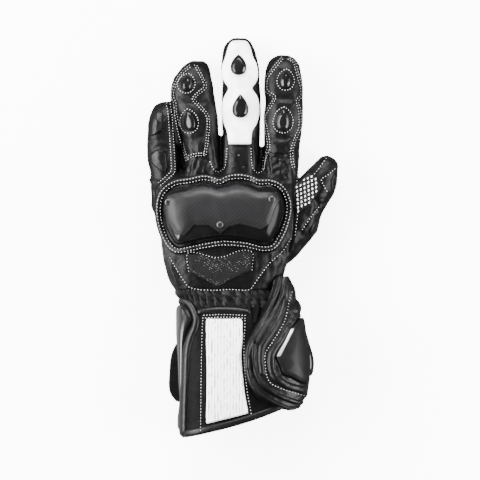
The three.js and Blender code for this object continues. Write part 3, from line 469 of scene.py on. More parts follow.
class Relief:
    STEP = 0.5  # mm between grid lines
    HALF_WIDE, HALF_LONG = 78, 154  # mm
    OVER = 0.2  # m, higher than all pieces

    def __init__(self):
        self.x = np.arange(-self.HALF_WIDE, self.HALF_WIDE, self.STEP)
        self.y = np.arange(-self.HALF_LONG, self.HALF_LONG, self.STEP)
        self.z = np.full((len(self.y), len(self.x)), -1.0)

    def take(self, *objects):
        """Raises the relief to the upper side of the objects."""
        for obj in objects:
            bm = bmesh.new()
            bm.from_mesh(obj.data)
            tree = BVHTree.FromBMesh(bm)
            bm.free()
            v, _ = points_of(obj)
            cols = np.flatnonzero((self.x >= v[:, 0].min()) & (self.x <= v[:, 0].max()))
            rows = np.flatnonzero((self.y >= v[:, 1].min()) & (self.y <= v[:, 1].max()))
            down = Vector((0, 0, -1))
            for r in rows:
                y = self.y[r] * MM
                for c in cols:
                    hit = tree.ray_cast(Vector((self.x[c] * MM, y, self.OVER)), down)[0]
                    if hit is not None and hit.z / MM > self.z[r, c]:
                        self.z[r, c] = hit.z / MM
        self.spread = self.filled()

    def filled(self):
        """The relief carried on past the glove's edge."""
        z = self.z.copy()
        for _ in range(16):
            gaps = z < 0
            around = np.stack([np.roll(z, s, a) for a in (0, 1) for s in (-1, 1)])
            known = around >= 0
            mean = (around * known).sum(0) / np.maximum(known.sum(0), 1)
            z = np.where(gaps & known.any(0), mean - 0.15, z)
        return np.maximum(z, 0)

    def soft(self, times):
        """A calmer copy of the relief, for pieces that bridge small folds."""
        z = self.spread.copy()
        for _ in range(times):
            z = (z * 2 + sum(np.roll(z, s, a) for a in (0, 1) for s in (-1, 1))) / 6
        return z

    def at(self, points, z=None):
        """Height of the relief, or of a copy of it, at points in mm."""
        z = self.spread if z is None else z
        u = np.clip((points[:, 0] - self.x[0]) / self.STEP, 0, len(self.x) - 1.001)
        v = np.clip((points[:, 1] - self.y[0]) / self.STEP, 0, len(self.y) - 1.001)
        i, j = u.astype(int), v.astype(int)
        a, b = u - i, v - j
        lower = z[j, i] * (1 - a) * (1 - b) + z[j, i + 1] * a * (1 - b)
        return lower + z[j + 1, i] * (1 - a) * b + z[j + 1, i + 1] * a * b

    def facing(self, points, z=None):
        """Unit normal of the relief."""
        e = 0.7
        dx = self.at(points + [e, 0], z) - self.at(points - [e, 0], z)
        dy = self.at(points + [0, e], z) - self.at(points - [0, e], z)
        return unit(np.stack([-dx / (2 * e), -dy / (2 * e), np.ones(len(points))], -1))


relief = Relief()


SINK = 0.6  # mm that a laid piece reaches under the hide


def laid(name, outline, thickness, edge, spacing=0.9, lift=0.0, profile=None, calm=2, level=None):
    """A piece laid on the relief, or at a level, inside an outline, with a rounded edge.

    profile is called with the points and their distance to the edge, and returns mm to add to each."""
    outline = smooth_line(outline, spacing * 0.8, True)
    low, high = outline.min(0), outline.max(0)
    gx, gy = np.meshgrid(np.arange(low[0], high[0], spacing), np.arange(low[1], high[1], spacing))
    gx[1::2] += spacing / 2
    points = np.stack([gx.ravel(), gy.ravel()], -1)
    points = points[inside(points, outline)]
    points = points[near_line(points, outline, True) > edge + 0.35 * spacing]
    inward = sideways(outline, True)
    if not inside(outline[:1] + inward[:1] * 0.2, outline)[0]:
        inward = -inward
    rows = [outline]
    for share in (0.12, 0.35, 0.65, 1.0):
        ring = outline + inward * edge * share
        good = inside(ring, outline) & (near_line(ring, outline, True) > edge * share * 0.85)
        rows.append(ring[good])
    count = len(outline)
    border = [(i, (i + 1) % count) for i in range(count)]
    spots = [Vector(p) for p in np.concatenate(rows + [points])]
    flat, _, faces, source, _, _ = delaunay_2d_cdt(spots, border, [], 1, 1e-4)
    flat = np.array([tuple(p) for p in flat])
    depth = near_line(flat, outline, True)
    first = [s[0] if s else count for s in source]
    depth[[k for k, origin in enumerate(first) if origin < count]] = 0
    base = relief.at(flat, relief.soft(calm)) if level is None else np.full(len(flat), level)
    crown = np.sqrt(np.clip(1 - (1 - np.clip(depth / edge, 0, 1)) ** 2, 0, 1))
    top = base + lift + thickness * (0.12 + 0.88 * crown)
    if profile is not None:
        top = top + profile(flat, depth)
    under = base - SINK if level is None else base
    faces = [list(f) for f in faces]
    return slab(name, np.column_stack([flat, top]), np.column_stack([flat, under]), faces)


def roll(name, path, across, rise, step, sides, lift, calm):
    """A padded roll along a closed path on the relief."""
    line = smooth_line(path, step, True)
    z = relief.soft(calm)
    spine = np.column_stack([line, relief.at(line, z) + lift])
    ahead = unit(np.roll(spine, -1, 0) - np.roll(spine, 1, 0))
    side = unit(np.cross(ahead, relief.facing(line, z)))
    up = np.cross(side, ahead)
    turn = full_turn(sides)[None, :, None]
    ring = spine[:, None] + (side[:, None] * np.cos(turn) * across / 2 + up[:, None] * np.sin(turn) * rise)
    return mend_normals(new_object(name, ring.reshape(-1, 3), grid_faces(len(line), sides, True)))


# Materials: one wrapped socket, and Python's own operators for the arithmetic


class Value:
    def __init__(self, tree, socket):
        self.tree, self.socket = tree, socket

    def math(self, operation, *others):
        node = self.tree.nodes.new("ShaderNodeMath")
        node.operation = operation
        for i, item in enumerate((self,) + others):
            put(self.tree, node.inputs[i], item)
        return Value(self.tree, node.outputs[0])

    def __add__(self, other):
        return self.math("ADD", other)

    def __sub__(self, other):
        return self.math("SUBTRACT", other)

    def __rsub__(self, other):
        return (self * -1.0).math("ADD", other)

    def __mul__(self, other):
        return self.math("MULTIPLY", other)

    def __gt__(self, other):
        return self.math("GREATER_THAN", other)

    __radd__, __rmul__ = __add__, __mul__


def put(tree, socket, item):
    if isinstance(item, Value):
        tree.links.new(item.socket, socket)
    elif item is not None:
        socket.default_value = item


class Finish:
    """A material built node by node."""

    def __init__(self, name):
        self.material = bpy.data.materials.new(name)
        self.material.use_nodes = True
        self.tree = self.material.node_tree
        self.shader = self.tree.nodes["Principled BSDF"]
        self.where = self.node("ShaderNodeTexCoord", "Object")

    def node(self, kind, out=0, **values):
        """A node's output; small names set the node itself, capital ones its inputs."""
        node = self.tree.nodes.new(kind)
        for key, item in values.items():
            if key.islower():
                setattr(node, key, item)
            else:
                put(self.tree, node.inputs[key.replace("_", " ")], item)
        return Value(self.tree, node.outputs[out])

    def noise(self, size_mm, detail=2.0, rough=0.5, where=None):
        place = {"Vector": where or self.where, "Scale": 1000 / size_mm}
        return self.node("ShaderNodeTexNoise", "Fac", **place, Detail=detail, Roughness=rough)

    def cells(self, size_mm, where=None, random=1.0):
        place = {"Vector": where or self.where, "Scale": 1000 / size_mm}
        return self.node("ShaderNodeTexVoronoi", "Distance", **place, Randomness=random)

    def mix(self, share, a, b):
        node = self.tree.nodes.new("ShaderNodeMix")
        node.data_type = "RGBA"
        for place, item in ((0, share), (6, a), (7, b)):
            put(self.tree, node.inputs[place], item)
        return Value(self.tree, node.outputs[2])

    def axis(self, which):
        return self.node("ShaderNodeSeparateXYZ", which, Vector=self.where)

    def ramp(self, value, low, high):
        return self.node("ShaderNodeMapRange", Value=value, From_Min=low, From_Max=high)

    def relief(self, height, depth_mm, strength=1.0, under=None):
        depth = depth_mm * MM
        return self.node("ShaderNodeBump", Height=height, Distance=depth, Strength=strength, Normal=under)

    def set(self, **values):
        for key, item in values.items():
            put(self.tree, self.shader.inputs[key.replace("_", " ")], item)
        return self.material


def grey(level, blue=0.0):
    return (level, level, level + blue, 1.0)


def leather(name, level, rough, grain, crease=0.5, shine=0.08):
    """Grained hide: rounded cells of about a millimetre, pores, soft wear and fine creases."""
    f = Finish(name)
    cell = f.cells(1.15)
    fine = f.cells(0.55)
    pores = f.noise(0.35, 2)
    patches = f.noise(14, 3)
    folds = f.noise(6.5, 4, 0.62)
    worn = f.ramp(patches, 0.45, 0.75)
    height = cell * 0.6 + fine * 0.35 + pores * 0.25
    bump = f.relief(height, 0.16 * grain)
    bump = f.relief(folds, 0.9 * crease, 0.6, bump)
    colour = f.mix(worn, grey(level, level * 0.04), grey(level * 1.5, level * 0.05))
    roughness = f.ramp(f.noise(5, 3), 0.2, 0.8) * 0.12 + worn * 0.06 + (rough - 0.08)
    return f.set(Base_Color=colour, Roughness=roughness, Normal=bump, Specular_IOR_Level=shine)


def hard_shell(name, rough, shine):
    """Black gloss plastic, dulled a little by dust."""
    f = Finish(name)
    dust = f.ramp(f.noise(9, 4), 0.35, 0.75)
    f.set(
        Base_Color=f.mix(dust, grey(0.0025, 0.0002), grey(0.004, 0.0003)), Roughness=dust * 0.08 + rough,
        Normal=f.relief(f.noise(18, 2), 0.25, 0.4), Coat_Roughness=0.08, Specular_IOR_Level=shine,
    )
    return f


YARN = 0.8  # mm, the plate's woven yarn
TUCK = 2.25  # mm, from one tuck of the white cuff panel to the next
SHIELD_WAY = (0.8875, -0.461)  # away from the shield's long left edge, beside which a painted highlight stripe runs
SHIELD_EDGE = 62.45  # mm


def make_finishes(colours):
    """Every finish of the glove, by name."""
    made = {
        "black": leather("black leather", colours.black, 0.4, 1.0),
        "cuff": leather("cuff black leather", colours.black, 0.4, 1.0, shine=0.015),
        "padding": leather("padded black leather", colours.black * 0.9, 0.36, 0.8, crease=0.3, shine=0.13),
        "white": leather("white leather", colours.white, 0.55, 0.5, crease=0.12),
    }
    f = Finish("tucked white leather")
    x = f.axis("X")
    tuck = (x * (1000 / TUCK)).math("FRACT").math("SUBTRACT", 0.5).math("ABSOLUTE") * 2.0
    drawn = f.node("ShaderNodeMapping", Vector=f.where, Scale=(1.0, 0.3, 1.0))
    # Dark broken lines along the middle of each tuck, where the panel's grooves are cut: painted shade in the
    # grooves.
    painted_groove_shade = f.ramp(f.noise(1.6, 2, where=drawn), 0.51, 0.57)
    made["tucked"] = f.set(
        Base_Color=f.mix(f.ramp(tuck, 0.64, 0.86) * painted_groove_shade, grey(colours.white), grey(0.03)), Roughness=0.55,
        Normal=f.relief(f.cells(0.8), 0.06),
    )
    f = Finish("shield")
    x, y = f.axis("X"), f.axis("Y")
    # A light satin silver stripe along the shield's long left edge stands in for the reflection there: a
    # painted highlight.
    inward = (x * SHIELD_WAY[0] + y * SHIELD_WAY[1]) * 1000 - SHIELD_EDGE
    painted_highlight = f.ramp(inward, 0.1, 0.4) * f.ramp(inward, 3.2, 2.6)
    painted_highlight = painted_highlight * f.ramp(y, -0.0885, -0.0865) * f.ramp(y, -0.0675, -0.069)
    dust = f.noise(6, 3)
    made["shield"] = f.set(
        Base_Color=f.mix(painted_highlight, f.mix(dust, grey(0.003), grey(0.006, 0.0003)), grey(0.4)),
        Roughness=dust * 0.1 + 0.33 - painted_highlight * 0.05,
        Metallic=painted_highlight * 0.9, Specular_IOR_Level=0.06,
    )
    made["gloss"] = hard_shell("gloss guard", 0.16, 0.15).set(Coat_Weight=0.12)
    f = hard_shell("guard shell", 0.2, 0.03)
    made["shell"] = f.set(Coat_Weight=f.ramp(f.axis("X"), -0.0194, -0.0394) * 0.4 + 0.03)
    f = Finish("satin strip")
    dust = f.noise(9, 4)
    made["strip"] = f.set(
        Base_Color=f.mix(dust, grey(0.003, 0.0003), grey(0.006, 0.0004)), Roughness=dust * 0.08 + 0.26,
        Normal=f.relief(f.noise(22, 2), 0.2, 0.4), Specular_IOR_Level=0.05,
        Coat_Weight=f.ramp(f.axis("X"), -0.0435, -0.047), Coat_Roughness=0.15,
    )
    f = Finish("twill plate")
    x, y = f.axis("X"), f.axis("Y")
    column = (x * (1000 / YARN)).math("FLOOR")
    line = (y * (1000 / YARN)).math("FLOOR")
    over = ((column - line) * 0.25).math("FRACT") > 0.49
    across = (x * (1000 / YARN)).math("FRACT")
    upward = (y * (1000 / YARN)).math("FRACT")
    strand = over * across.math("PINGPONG", 0.5) + (1.0 - over) * upward.math("PINGPONG", 0.5)
    patches = f.noise(16, 3)
    made["weave"] = f.set(
        Base_Color=f.mix(over * 0.4 + patches * 0.6, grey(0.003, 0.0002), grey(0.008, 0.0005)),
        Roughness=over * 0.05 + patches * 0.1 + 0.36, Normal=f.relief(strand, 0.04, 0.5),
        Specular_IOR_Level=0.14,
    )
    f = Finish("rough patch")
    tuft = f.noise(0.9, 4, 0.7)
    turned = (0, 0, math.radians(-35))
    slanted = f.node("ShaderNodeMapping", Vector=f.where, Rotation=turned, Scale=(1.0, 1.7, 1.0))
    marks = f.cells(2.2, where=slanted, random=0.35)
    fleck = f.ramp(marks, 0.24, 0.14) * f.ramp(f.noise(3, 2), 0.36, 0.5)
    made["suede"] = f.set(
        Base_Color=f.mix(fleck, f.mix(f.ramp(tuft, 0.4, 0.75), grey(0.002), grey(0.006)), grey(0.09)),
        Roughness=0.8, Specular_IOR_Level=0.1,
        Normal=f.relief(tuft + marks * 1.2, 0.4),
    )
    f = Finish("thread")
    twist = f.node(
        "ShaderNodeTexWave", "Fac", bands_direction="DIAGONAL", Vector=f.where, Scale=1000 / 1.6,
        Distortion=1.0, Detail=1.0,
    )
    made["thread"] = f.set(
        Base_Color=f.mix(twist, grey(colours.thread * 0.8, 0.01), grey(colours.thread, 0.01)),
        Roughness=0.75, Normal=f.relief(twist, 0.06),
    )
    f = Finish("rubber dot")
    made["dot"] = f.set(
        Base_Color=f.mix(f.noise(1.5, 2), grey(0.62), grey(0.85)), Roughness=0.5,
        Normal=f.relief(f.noise(0.8, 2), 0.05),
    )
    f = Finish("dark steel")
    ring = f.noise(0.6, 3)
    made["steel"] = f.set(
        Base_Color=f.mix(ring, grey(0.03), grey(0.08)), Metallic=1.0, Roughness=ring * 0.15 + 0.38,
        Normal=f.relief(ring, 0.03),
    )
    return made


FINISH = {}


def finish(obj, look, *nodes):
    """Gives a piece its material and its place in the frame."""
    obj.data.materials.clear()
    obj.data.materials.append(FINISH[look])
    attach(obj, "root")
    if nodes:
        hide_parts(*nodes)


def settle(obj, look, *nodes):
    """Finishes a piece that later ones lie on."""
    finish(obj, look, *nodes)
    relief.take(obj)


# Geometry Nodes: one small solid set at every marked place


def scatter(name, places, normals, aheads, size, look, segments, rings):
    """Sets a rounded grain, length by width by height, at each place, turned along and out of the surface."""
    mesh = bpy.data.meshes.new(name)
    mesh.from_pydata((np.asarray(places) * MM).tolist(), [], [])
    for key, values in (("ahead", aheads), ("out", normals)):
        layer = mesh.attributes.new(key, "FLOAT_VECTOR", "POINT")
        layer.data.foreach_set("vector", np.asarray(values, float).ravel())
    obj = linked(name, mesh)
    tree = bpy.data.node_groups.new(name + " grains", "GeometryNodeTree")
    face = tree.interface
    face.new_socket("Geometry", in_out="INPUT", socket_type="NodeSocketGeometry")
    sizes = {
        key: face.new_socket(key, in_out="INPUT", socket_type="NodeSocketFloat")
        for key in ("Length", "Width", "Height")
    }
    face.new_socket("Geometry", in_out="OUTPUT", socket_type="NodeSocketGeometry")
    new, link = tree.nodes.new, tree.links.new
    entry, exit_ = new("NodeGroupInput"), new("NodeGroupOutput")
    ball = new("GeometryNodeMeshUVSphere")
    ball.inputs["Segments"].default_value = segments
    ball.inputs["Rings"].default_value = rings
    ball.inputs["Radius"].default_value = 0.5
    scale = new("ShaderNodeCombineXYZ")
    for k, key in enumerate(sizes):
        link(entry.outputs[key], scale.inputs[k])
    form = new("GeometryNodeTransform")
    link(ball.outputs["Mesh"], form.inputs["Geometry"])
    link(scale.outputs[0], form.inputs["Scale"])
    turned = new("FunctionNodeAxesToRotation")
    turned.primary_axis, turned.secondary_axis = "Z", "X"
    for key, socket in (("out", "Primary Axis"), ("ahead", "Secondary Axis")):
        named = new("GeometryNodeInputNamedAttribute")
        named.data_type = "FLOAT_VECTOR"
        named.inputs["Name"].default_value = key
        link(named.outputs["Attribute"], turned.inputs[socket])
    at = new("GeometryNodeInstanceOnPoints")
    link(entry.outputs["Geometry"], at.inputs["Points"])
    link(form.outputs["Geometry"], at.inputs["Instance"])
    link(turned.outputs[0], at.inputs["Rotation"])
    real = new("GeometryNodeRealizeInstances")
    link(at.outputs[0], real.inputs[0])
    shade = new("GeometryNodeSetShadeSmooth")
    link(real.outputs[0], shade.inputs[0])
    coat = new("GeometryNodeSetMaterial")
    coat.inputs["Material"].default_value = FINISH[look]
    link(shade.outputs[0], coat.inputs[0])
    link(coat.outputs[0], exit_.inputs[0])
    modifier = obj.modifiers.new("Grains", "NODES")
    modifier.node_group = tree
    for (key, socket), value in zip(sizes.items(), size):
        modifier[socket.identifier] = value * MM
    applied(obj)
    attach(obj, "root")


STITCH_LIFT = 0.12  # mm that a stitch's middle stands over what it is sewn on


def stitched(name, lines, pitch, size):
    """Rows of stitches along marked lines on the relief."""
    z = relief.soft(1)
    places, normals, aheads = [], [], []
    for line in lines:
        p = smooth_line(line, pitch)
        height = relief.at(p, z)
        normals.append(relief.facing(p, z))
        places.append(np.column_stack([p, height]) + normals[-1] * STITCH_LIFT)
        aheads.append(unit(np.column_stack([np.gradient(p, axis=0), np.gradient(height)])))
    places, normals, aheads = (np.concatenate(v) for v in (places, normals, aheads))
    scatter(name, places, normals, aheads, size, "thread", 6, 4)


def grains_on(name, spots, calm, ahead, size, look, segments):
    """Grains set on the relief at some spots, all turned the same way."""
    z = relief.soft(calm)
    places = np.column_stack([spots, relief.at(spots, z)])
    scatter(name, places, relief.facing(spots, z), np.tile(ahead, (len(spots), 1)), size, look, segments, 6)


def beside(line, away, closed=False):
    """A line moved sideways by some mm."""
    p = smooth_line(line, 1.0, closed)
    moved = p + sideways(p, closed) * away
    return np.concatenate([moved, moved[:1]]) if closed else moved


# The pieces' outlines and lines


def mirrored_steps(rows):
    left = [(left, along) for along, left, right in rows]
    return left + [(right, along) for along, left, right in rows][::-1]


RING_PANEL = mirrored_steps([
    (0.965, -0.19, -0.05), (0.89, -0.42, 0.04), (0.8, -0.55, 0.16), (0.744, -0.56, 0.02), (0.7, -0.53, -0.1),
    (0.636, -0.48, 0.09), (0.566, -0.47, 0.22), (0.48, -0.43, 0.23), (0.388, -0.37, 0.17), (0.27, -0.28, 0.16),
])
MIDDLE_PANEL = mirrored_steps([
    (0.98, -0.18, 0.14), (0.963, -0.25, 0.21), (0.919, -0.315, 0.28), (0.872, -0.36, 0.325),
    (0.815, -0.44, 0.42), (0.743, -0.46, 0.45), (0.696, -0.375, 0.4), (0.655, -0.29, 0.31),
    (0.608, -0.375, 0.42), (0.554, -0.45, 0.48), (0.486, -0.46, 0.49), (0.419, -0.4, 0.42),
    (0.365, -0.325, 0.31), (0.29, -0.282, 0.277), (0.281, -0.28, 0.275), (0.279, -0.262, 0.257),
])
INDEX_PANEL = mirrored_steps([
    (0.969, -0.08, 0.24), (0.908, -0.26, 0.39), (0.815, -0.38, 0.46), (0.723, -0.36, 0.5), (0.66, -0.18, 0.39),
    (0.608, -0.33, 0.46), (0.546, -0.42, 0.48), (0.454, -0.44, 0.47), (0.369, -0.38, 0.38),
    (0.254, -0.33, 0.24),
])
STUDS = {
    "ring_stud_tip": (RING, -0.26, 0.82, 7.8, 10.9, 14, 0.55),
    "ring_stud_knuckle": (RING, -0.205, 0.5275, 8.6, 14, -8, 0.7),
    "middle_stud_tip": (MIDDLE, -0.035, 0.813, 11.2, 14.4, 0, 0.6),
    "middle_stud_knuckle": (MIDDLE, 0.012, 0.535, 11.6, 16.5, 0, 0.9),
    "index_stud_tip": (INDEX, 0.1, 0.808, 7.7, 12, 4, 0.55),
    "index_stud_knuckle": (INDEX, 0.03, 0.498, 9.6, 15, 4, 0.6),
}
GUARD = [
    (-0.421, 0.75), (-0.404, 0.8), (-0.332, 0.846), (-0.235, 0.867), (-0.16, 0.896), (-0.091, 0.883),
    (-0.036, 0.863),
    (0.026, 0.896), (0.095, 0.908), (0.163, 0.888), (0.232, 0.85), (0.301, 0.858), (0.363, 0.829),
    (0.404, 0.758),
    (0.411, 0.683), (0.39, 0.567), (0.356, 0.467), (0.314, 0.4), (0.259, 0.392), (0.108, 0.429),
    (-0.015, 0.438),
    (-0.132, 0.421), (-0.235, 0.392), (-0.318, 0.375), (-0.359, 0.417), (-0.4, 0.517), (-0.424, 0.633),
]
GUARD_ROLL = [
    (-0.445, 0.736), (-0.415, 0.82), (-0.34, 0.883), (-0.235, 0.905), (-0.146, 0.928), (-0.077, 0.915),
    (-0.036, 0.894),
    (0.026, 0.928), (0.108, 0.94), (0.184, 0.922), (0.239, 0.893), (0.314, 0.893), (0.387, 0.855), (0.43, 0.77),
    (0.443, 0.67), (0.425, 0.555), (0.387, 0.445), (0.335, 0.357), (0.266, 0.342), (0.143, 0.375),
    (-0.002, 0.388),
    (-0.132, 0.367), (-0.235, 0.342), (-0.325, 0.328), (-0.379, 0.375), (-0.424, 0.487), (-0.448, 0.617),
]
PLATE = [
    (164, 209.5), (168.4, 196), (174.2, 193.8), (186.2, 191.5), (194.3, 187.4), (205, 186.6), (217, 190),
    (227.8, 187), (237.1, 185.4), (247.9, 187.2), (258.6, 192), (276.5, 192.4), (279.6, 200.2), (274.6, 209.5),
    (269.3, 224.3), (261.2, 229.6), (239.8, 224.3), (229, 227), (221, 233.8), (209, 225.6), (194.3, 225.6),
    (184.9, 236), (175.5, 234), (168, 222),
]
SCREWS = [(168.9, 202.6), (271.6, 199.6), (220.3, 225)]
BACK_PATCH = [
    (-0.247, 0.302), (-0.169, 0.297), (-0.1, 0.272), (-0.05, 0.262), (0.015, 0.275), (0.088, 0.313),
    (0.15, 0.325),
    (0.19, 0.303), (0.185, 0.168), (-0.05, 0.03), (-0.238, 0.157),
]
LITTLE_PAD_TIP = [
    (151.2, 115), (153.5, 111.4), (161.8, 111.6), (163.2, 114), (161.8, 130), (157.5, 133.6), (151, 136.4),
]
LITTLE_PAD_BASE = [
    (150.4, 154), (156, 150.2), (163.4, 150.2), (166, 154), (167.4, 167), (165, 172), (161, 171.4),
    (150.6, 162.4),
]
THUMB_GRIP = [
    (295.6, 186.4), (302, 179), (309.4, 172.5), (316.6, 178.7), (321.3, 188.5), (316.6, 195.5), (308.9, 205.5),
    (302.2, 210.3), (296, 214), (294.8, 200),
]
THUMB_PAD_TIP = [(331.2, 180.5), (334.6, 174), (336.6, 180), (336.4, 188), (333.4, 192.3), (331.4, 188)]
THUMB_PAD_BASE = [
    (317.2, 219.8), (319, 224), (318, 230), (314.8, 234.4), (310.2, 235.6), (309.4, 232), (312.4, 225.4),
]
WHITE_PANEL = [
    (207.3, 318.4), (215, 318.3), (232, 318.3), (240.4, 318.4), (241.9, 320), (242.3, 322.5), (242.3, 340),
    (241.4, 355), (242.6, 371), (244.2, 389), (246.4, 402.6), (247.6, 409.6), (247.3, 410.8), (245.6, 411.4),
    (235, 414.2), (220, 418), (209, 420.8), (207, 421), (206.6, 419.6), (207, 400), (207.4, 370), (206.6, 340),
    (206.4, 322.5), (206.7, 320),
]
PAD_SEAM = [
    (292, 292), (289.5, 298), (286.9, 311), (283.9, 321.2), (278.8, 330.4), (271.6, 341.6), (265, 352.3),
    (265, 364.1),
    (266.5, 374.3), (270.6, 381.4), (280.8, 386.5), (291, 390.1), (303.3, 394.2),
]
CUFF_GUARD = [
    (298.5, 318), (291.5, 325.5), (288.3, 329.5), (283.6, 338.9), (276.2, 352.8), (275.5, 357), (279.3, 366),
    (281.5, 372.4), (289.1, 375.8), (303.5, 382), (306.8, 372), (304.8, 350), (302.6, 328), (301, 319),
]
EDGE_GUARD = [
    (150, 306.5), (176, 306.5), (181, 304.5), (186, 305), (189.5, 308.5), (192, 313.5), (193.3, 318.5),
    (191.5, 324), (188, 331), (185.2, 340), (183.7, 350), (182.8, 362), (182, 380), (181, 400), (180, 432),
    (150, 432),
]
EDGE_ROLL = [
    (177.2, 305.4), (180.2, 301.5), (184.8, 300.6), (189.4, 303.3), (193.2, 309), (195.8, 315), (196.6, 321),
    (194.8, 328), (191.2, 336), (188.2, 345), (186.9, 353), (186.4, 361.5), (185.6, 380), (184.6, 400),
    (183.6, 432),
]
PAD_OUTLINE = [
    (275.6, 276.5), (272.8, 289), (267.2, 304.5), (259.4, 318), (252, 332.5), (246, 344.5), (244.2, 355),
    (244.8, 369),
    (248.6, 382.5), (256, 392.8), (265.5, 399.6), (277.5, 404.8), (288, 407.6), (295, 407.4),
    (300.3, 402.5), (304.5, 396), (309, 389), (318, 383),
    (338, 378), (338, 320), (324, 295), (308, 281), (295, 274), (285, 272), (279, 273),
]
PAD_ROLLS = [  # path on the sheet, half width, rise
    ([(278.6, 277), (275.8, 290), (270, 306), (262, 320), (254.5, 334), (248.8, 346), (247.2, 355),
    (247.7, 368), (251.3, 381), (258.3, 390.5), (267.3, 397), (278.3, 403.5), (288, 407.3),
    (297, 406)], 2.1, 2.5),
    ([(283.5, 277.5), (280.8, 292), (276.8, 305), (269.3, 318), (261.3, 329), (254.8, 340)], 1.9, 2.3),
    ([(253.6, 345), (253.2, 356), (254.7, 368), (260.3, 380), (270.3, 389), (283.3, 396),
    (300.3, 402)], 1.7, 1.7),
    ([(285.6, 286), (283.2, 305), (276.3, 322), (268.3, 335), (261.8, 346), (260.5, 358),
    (262, 371)], 1.9, 1.3),
    ([(298, 297), (295.4, 310), (290, 323), (281, 338), (271.9, 351.5), (270.7, 364), (275.2, 376),
    (286.2, 383.7), (300, 388.5)], 2.5, 1.9),
]
PAD_EYELETS = [(292.8, 313.5), (290.6, 319.3), (287.2, 325.7)]
TOP_BAND = [(200.5, 311.2), (211, 309.6), (224, 309), (237, 309.6), (247.5, 311.2)]
PAD_TAB = [(244.6, 356.5), (249.8, 355.5), (250.2, 366.5), (245.4, 367.5)]
SIDE_GUARD = [(303, 323.5), (306.5, 324.5), (330, 338), (330, 374), (309, 377), (306.5, 371), (305, 345)]
STRAP = [
    (-0.49, 0.35), (-0.54, 0.368), (-0.582, 0.47), (-0.597, 0.634), (-0.598, 0.734), (-0.577, 0.8),
    (-0.516, 0.852), (0.36, 0.72), (0.41, 0.68), (0.41, 0.3), (0.36, 0.27),
]

# Lines of thread and creases, as places on the marked sheet
RING_THREAD = [
    [(195.6, 65), (199, 72), (204, 82), (205, 87.6), (199, 93), (193.6, 99.6), (199, 106), (207, 115.7),
        (208.3, 126.4), (207, 142), (205, 154.6)],
    [(190, 66), (180, 76), (174, 88), (172.5, 96), (175, 104), (176, 116), (181, 140), (187, 160)],
    [(188, 157), (196, 155), (204, 154.6)],
]
INDEX_THREAD = [
    [(282.6, 57.5), (275.4, 66.4), (270.3, 73), (267.2, 77.7), (266, 84), (266.2, 89.9), (269.5, 93.4),
        (274.6, 97.6), (272.3, 103.2), (266.7, 111.3), (264.4, 117.4), (266.5, 130.4), (268.7, 147),
        (266.5, 154), (264.2, 161), (263.3, 168.4)],
    [(288.7, 58.5), (293.8, 61.8), (296.6, 70.5), (299.4, 80.7), (301.4, 88.9), (301.4, 95.5),
        (297.3, 100.6), (297.6, 104.7), (299.4, 110.3), (299.6, 127.9), (296.5, 135.5), (293.3, 143.8),
        (291.4, 152.4), (292, 160.4), (293.3, 167.4)],
]
LITTLE_THREAD = [
    [(168, 103), (170, 115), (171, 130), (172.3, 150), (173, 165), (172.5, 172), (167, 178), (160, 184)],
]
CROTCH_THREAD = [
    [(209.9, 162.2), (214, 170), (218, 171.8), (224, 168.5), (226, 160), (227, 149)],
    [(251, 149), (251.7, 163.7), (254.6, 171), (260.5, 172.5), (264.2, 168), (266.4, 153.4)],
]
HAND_SEAM = [
    (170.2, 257.8), (174.2, 264.5), (182.2, 277.9), (190.3, 287.2), (210.4, 289.9), (230.4, 289.2),
    (246.5, 289.9), (250.5, 288.6), (261.2, 273.8), (270.6, 261.8), (281.3, 252.4), (290.7, 239),
]
THUMB_THREAD = [
    [(314.6, 174), (320, 167), (326, 158.6)], [(334.7, 169), (328, 174.9), (321.3, 179.7), (323.3, 185.4),
        (326.6, 191.1)],
    [(318.5, 207.4), (310.8, 217), (302.2, 229.4)],
]
SIDE_SEAM = [(299, 140), (300, 155), (297, 177), (298, 205), (295, 235)]
FINGER_HOLES = [(233.6, 166.5), (243.4, 167.4), (279.9, 160), (271.9, 170.6), (284.3, 172.2)]
FINGER_EYELET = [(238.6, 155.6)]
CUFF_THREAD = [
    [(203, 316.2), (224, 315.2), (245, 316.2)],
    [(203, 320), (202, 350), (201.5, 390), (201, 428)], [(245, 320), (244, 350), (246.5, 385), (251, 411)],
]


# The hide of the hand: palm, fingers and thumb grown together, with the hollow that the hand goes into


def web(x, y, half_wide, half_long, low, high, lean=0.0):
    """A low fold of hide between two fingers; its place is marked on the sheet."""
    (cx, cy), = sheet([(x, y)])
    t = np.linspace(-1, 1, 25)[:, None]
    turn = full_turn(32)[None, :]
    thin = np.sqrt(np.maximum(1 - t**2, 0.01))
    x = cx + half_wide * thin * np.cos(turn) + lean * t * half_long
    rise = (low + high) / 2 + (high - low) / 2 * thin * np.sin(turn)
    return capped("web", np.stack([x, cy + half_long * t + 0 * turn, rise], -1))


WEBS = [
    (181.8, 155, 6, 20, 4, 14, -0.12), (219, 157, 4.5, 17, 4, 15, 0.0), (260.5, 162, 4.5, 12, 4, 15, 0.1),
]


def grown(grow, steps, around, name, cell, **wrist):
    """All forms of the hand as one skin, grown or shrunk by some mm."""
    parts = [capped("form", f.rings(grow, steps, around, **(wrist if f is PALM else {}))) for f in HAND_FORMS]
    if grow > 0:
        parts += [web(*row) for row in WEBS]
    return remeshed(merged(parts, name), cell)


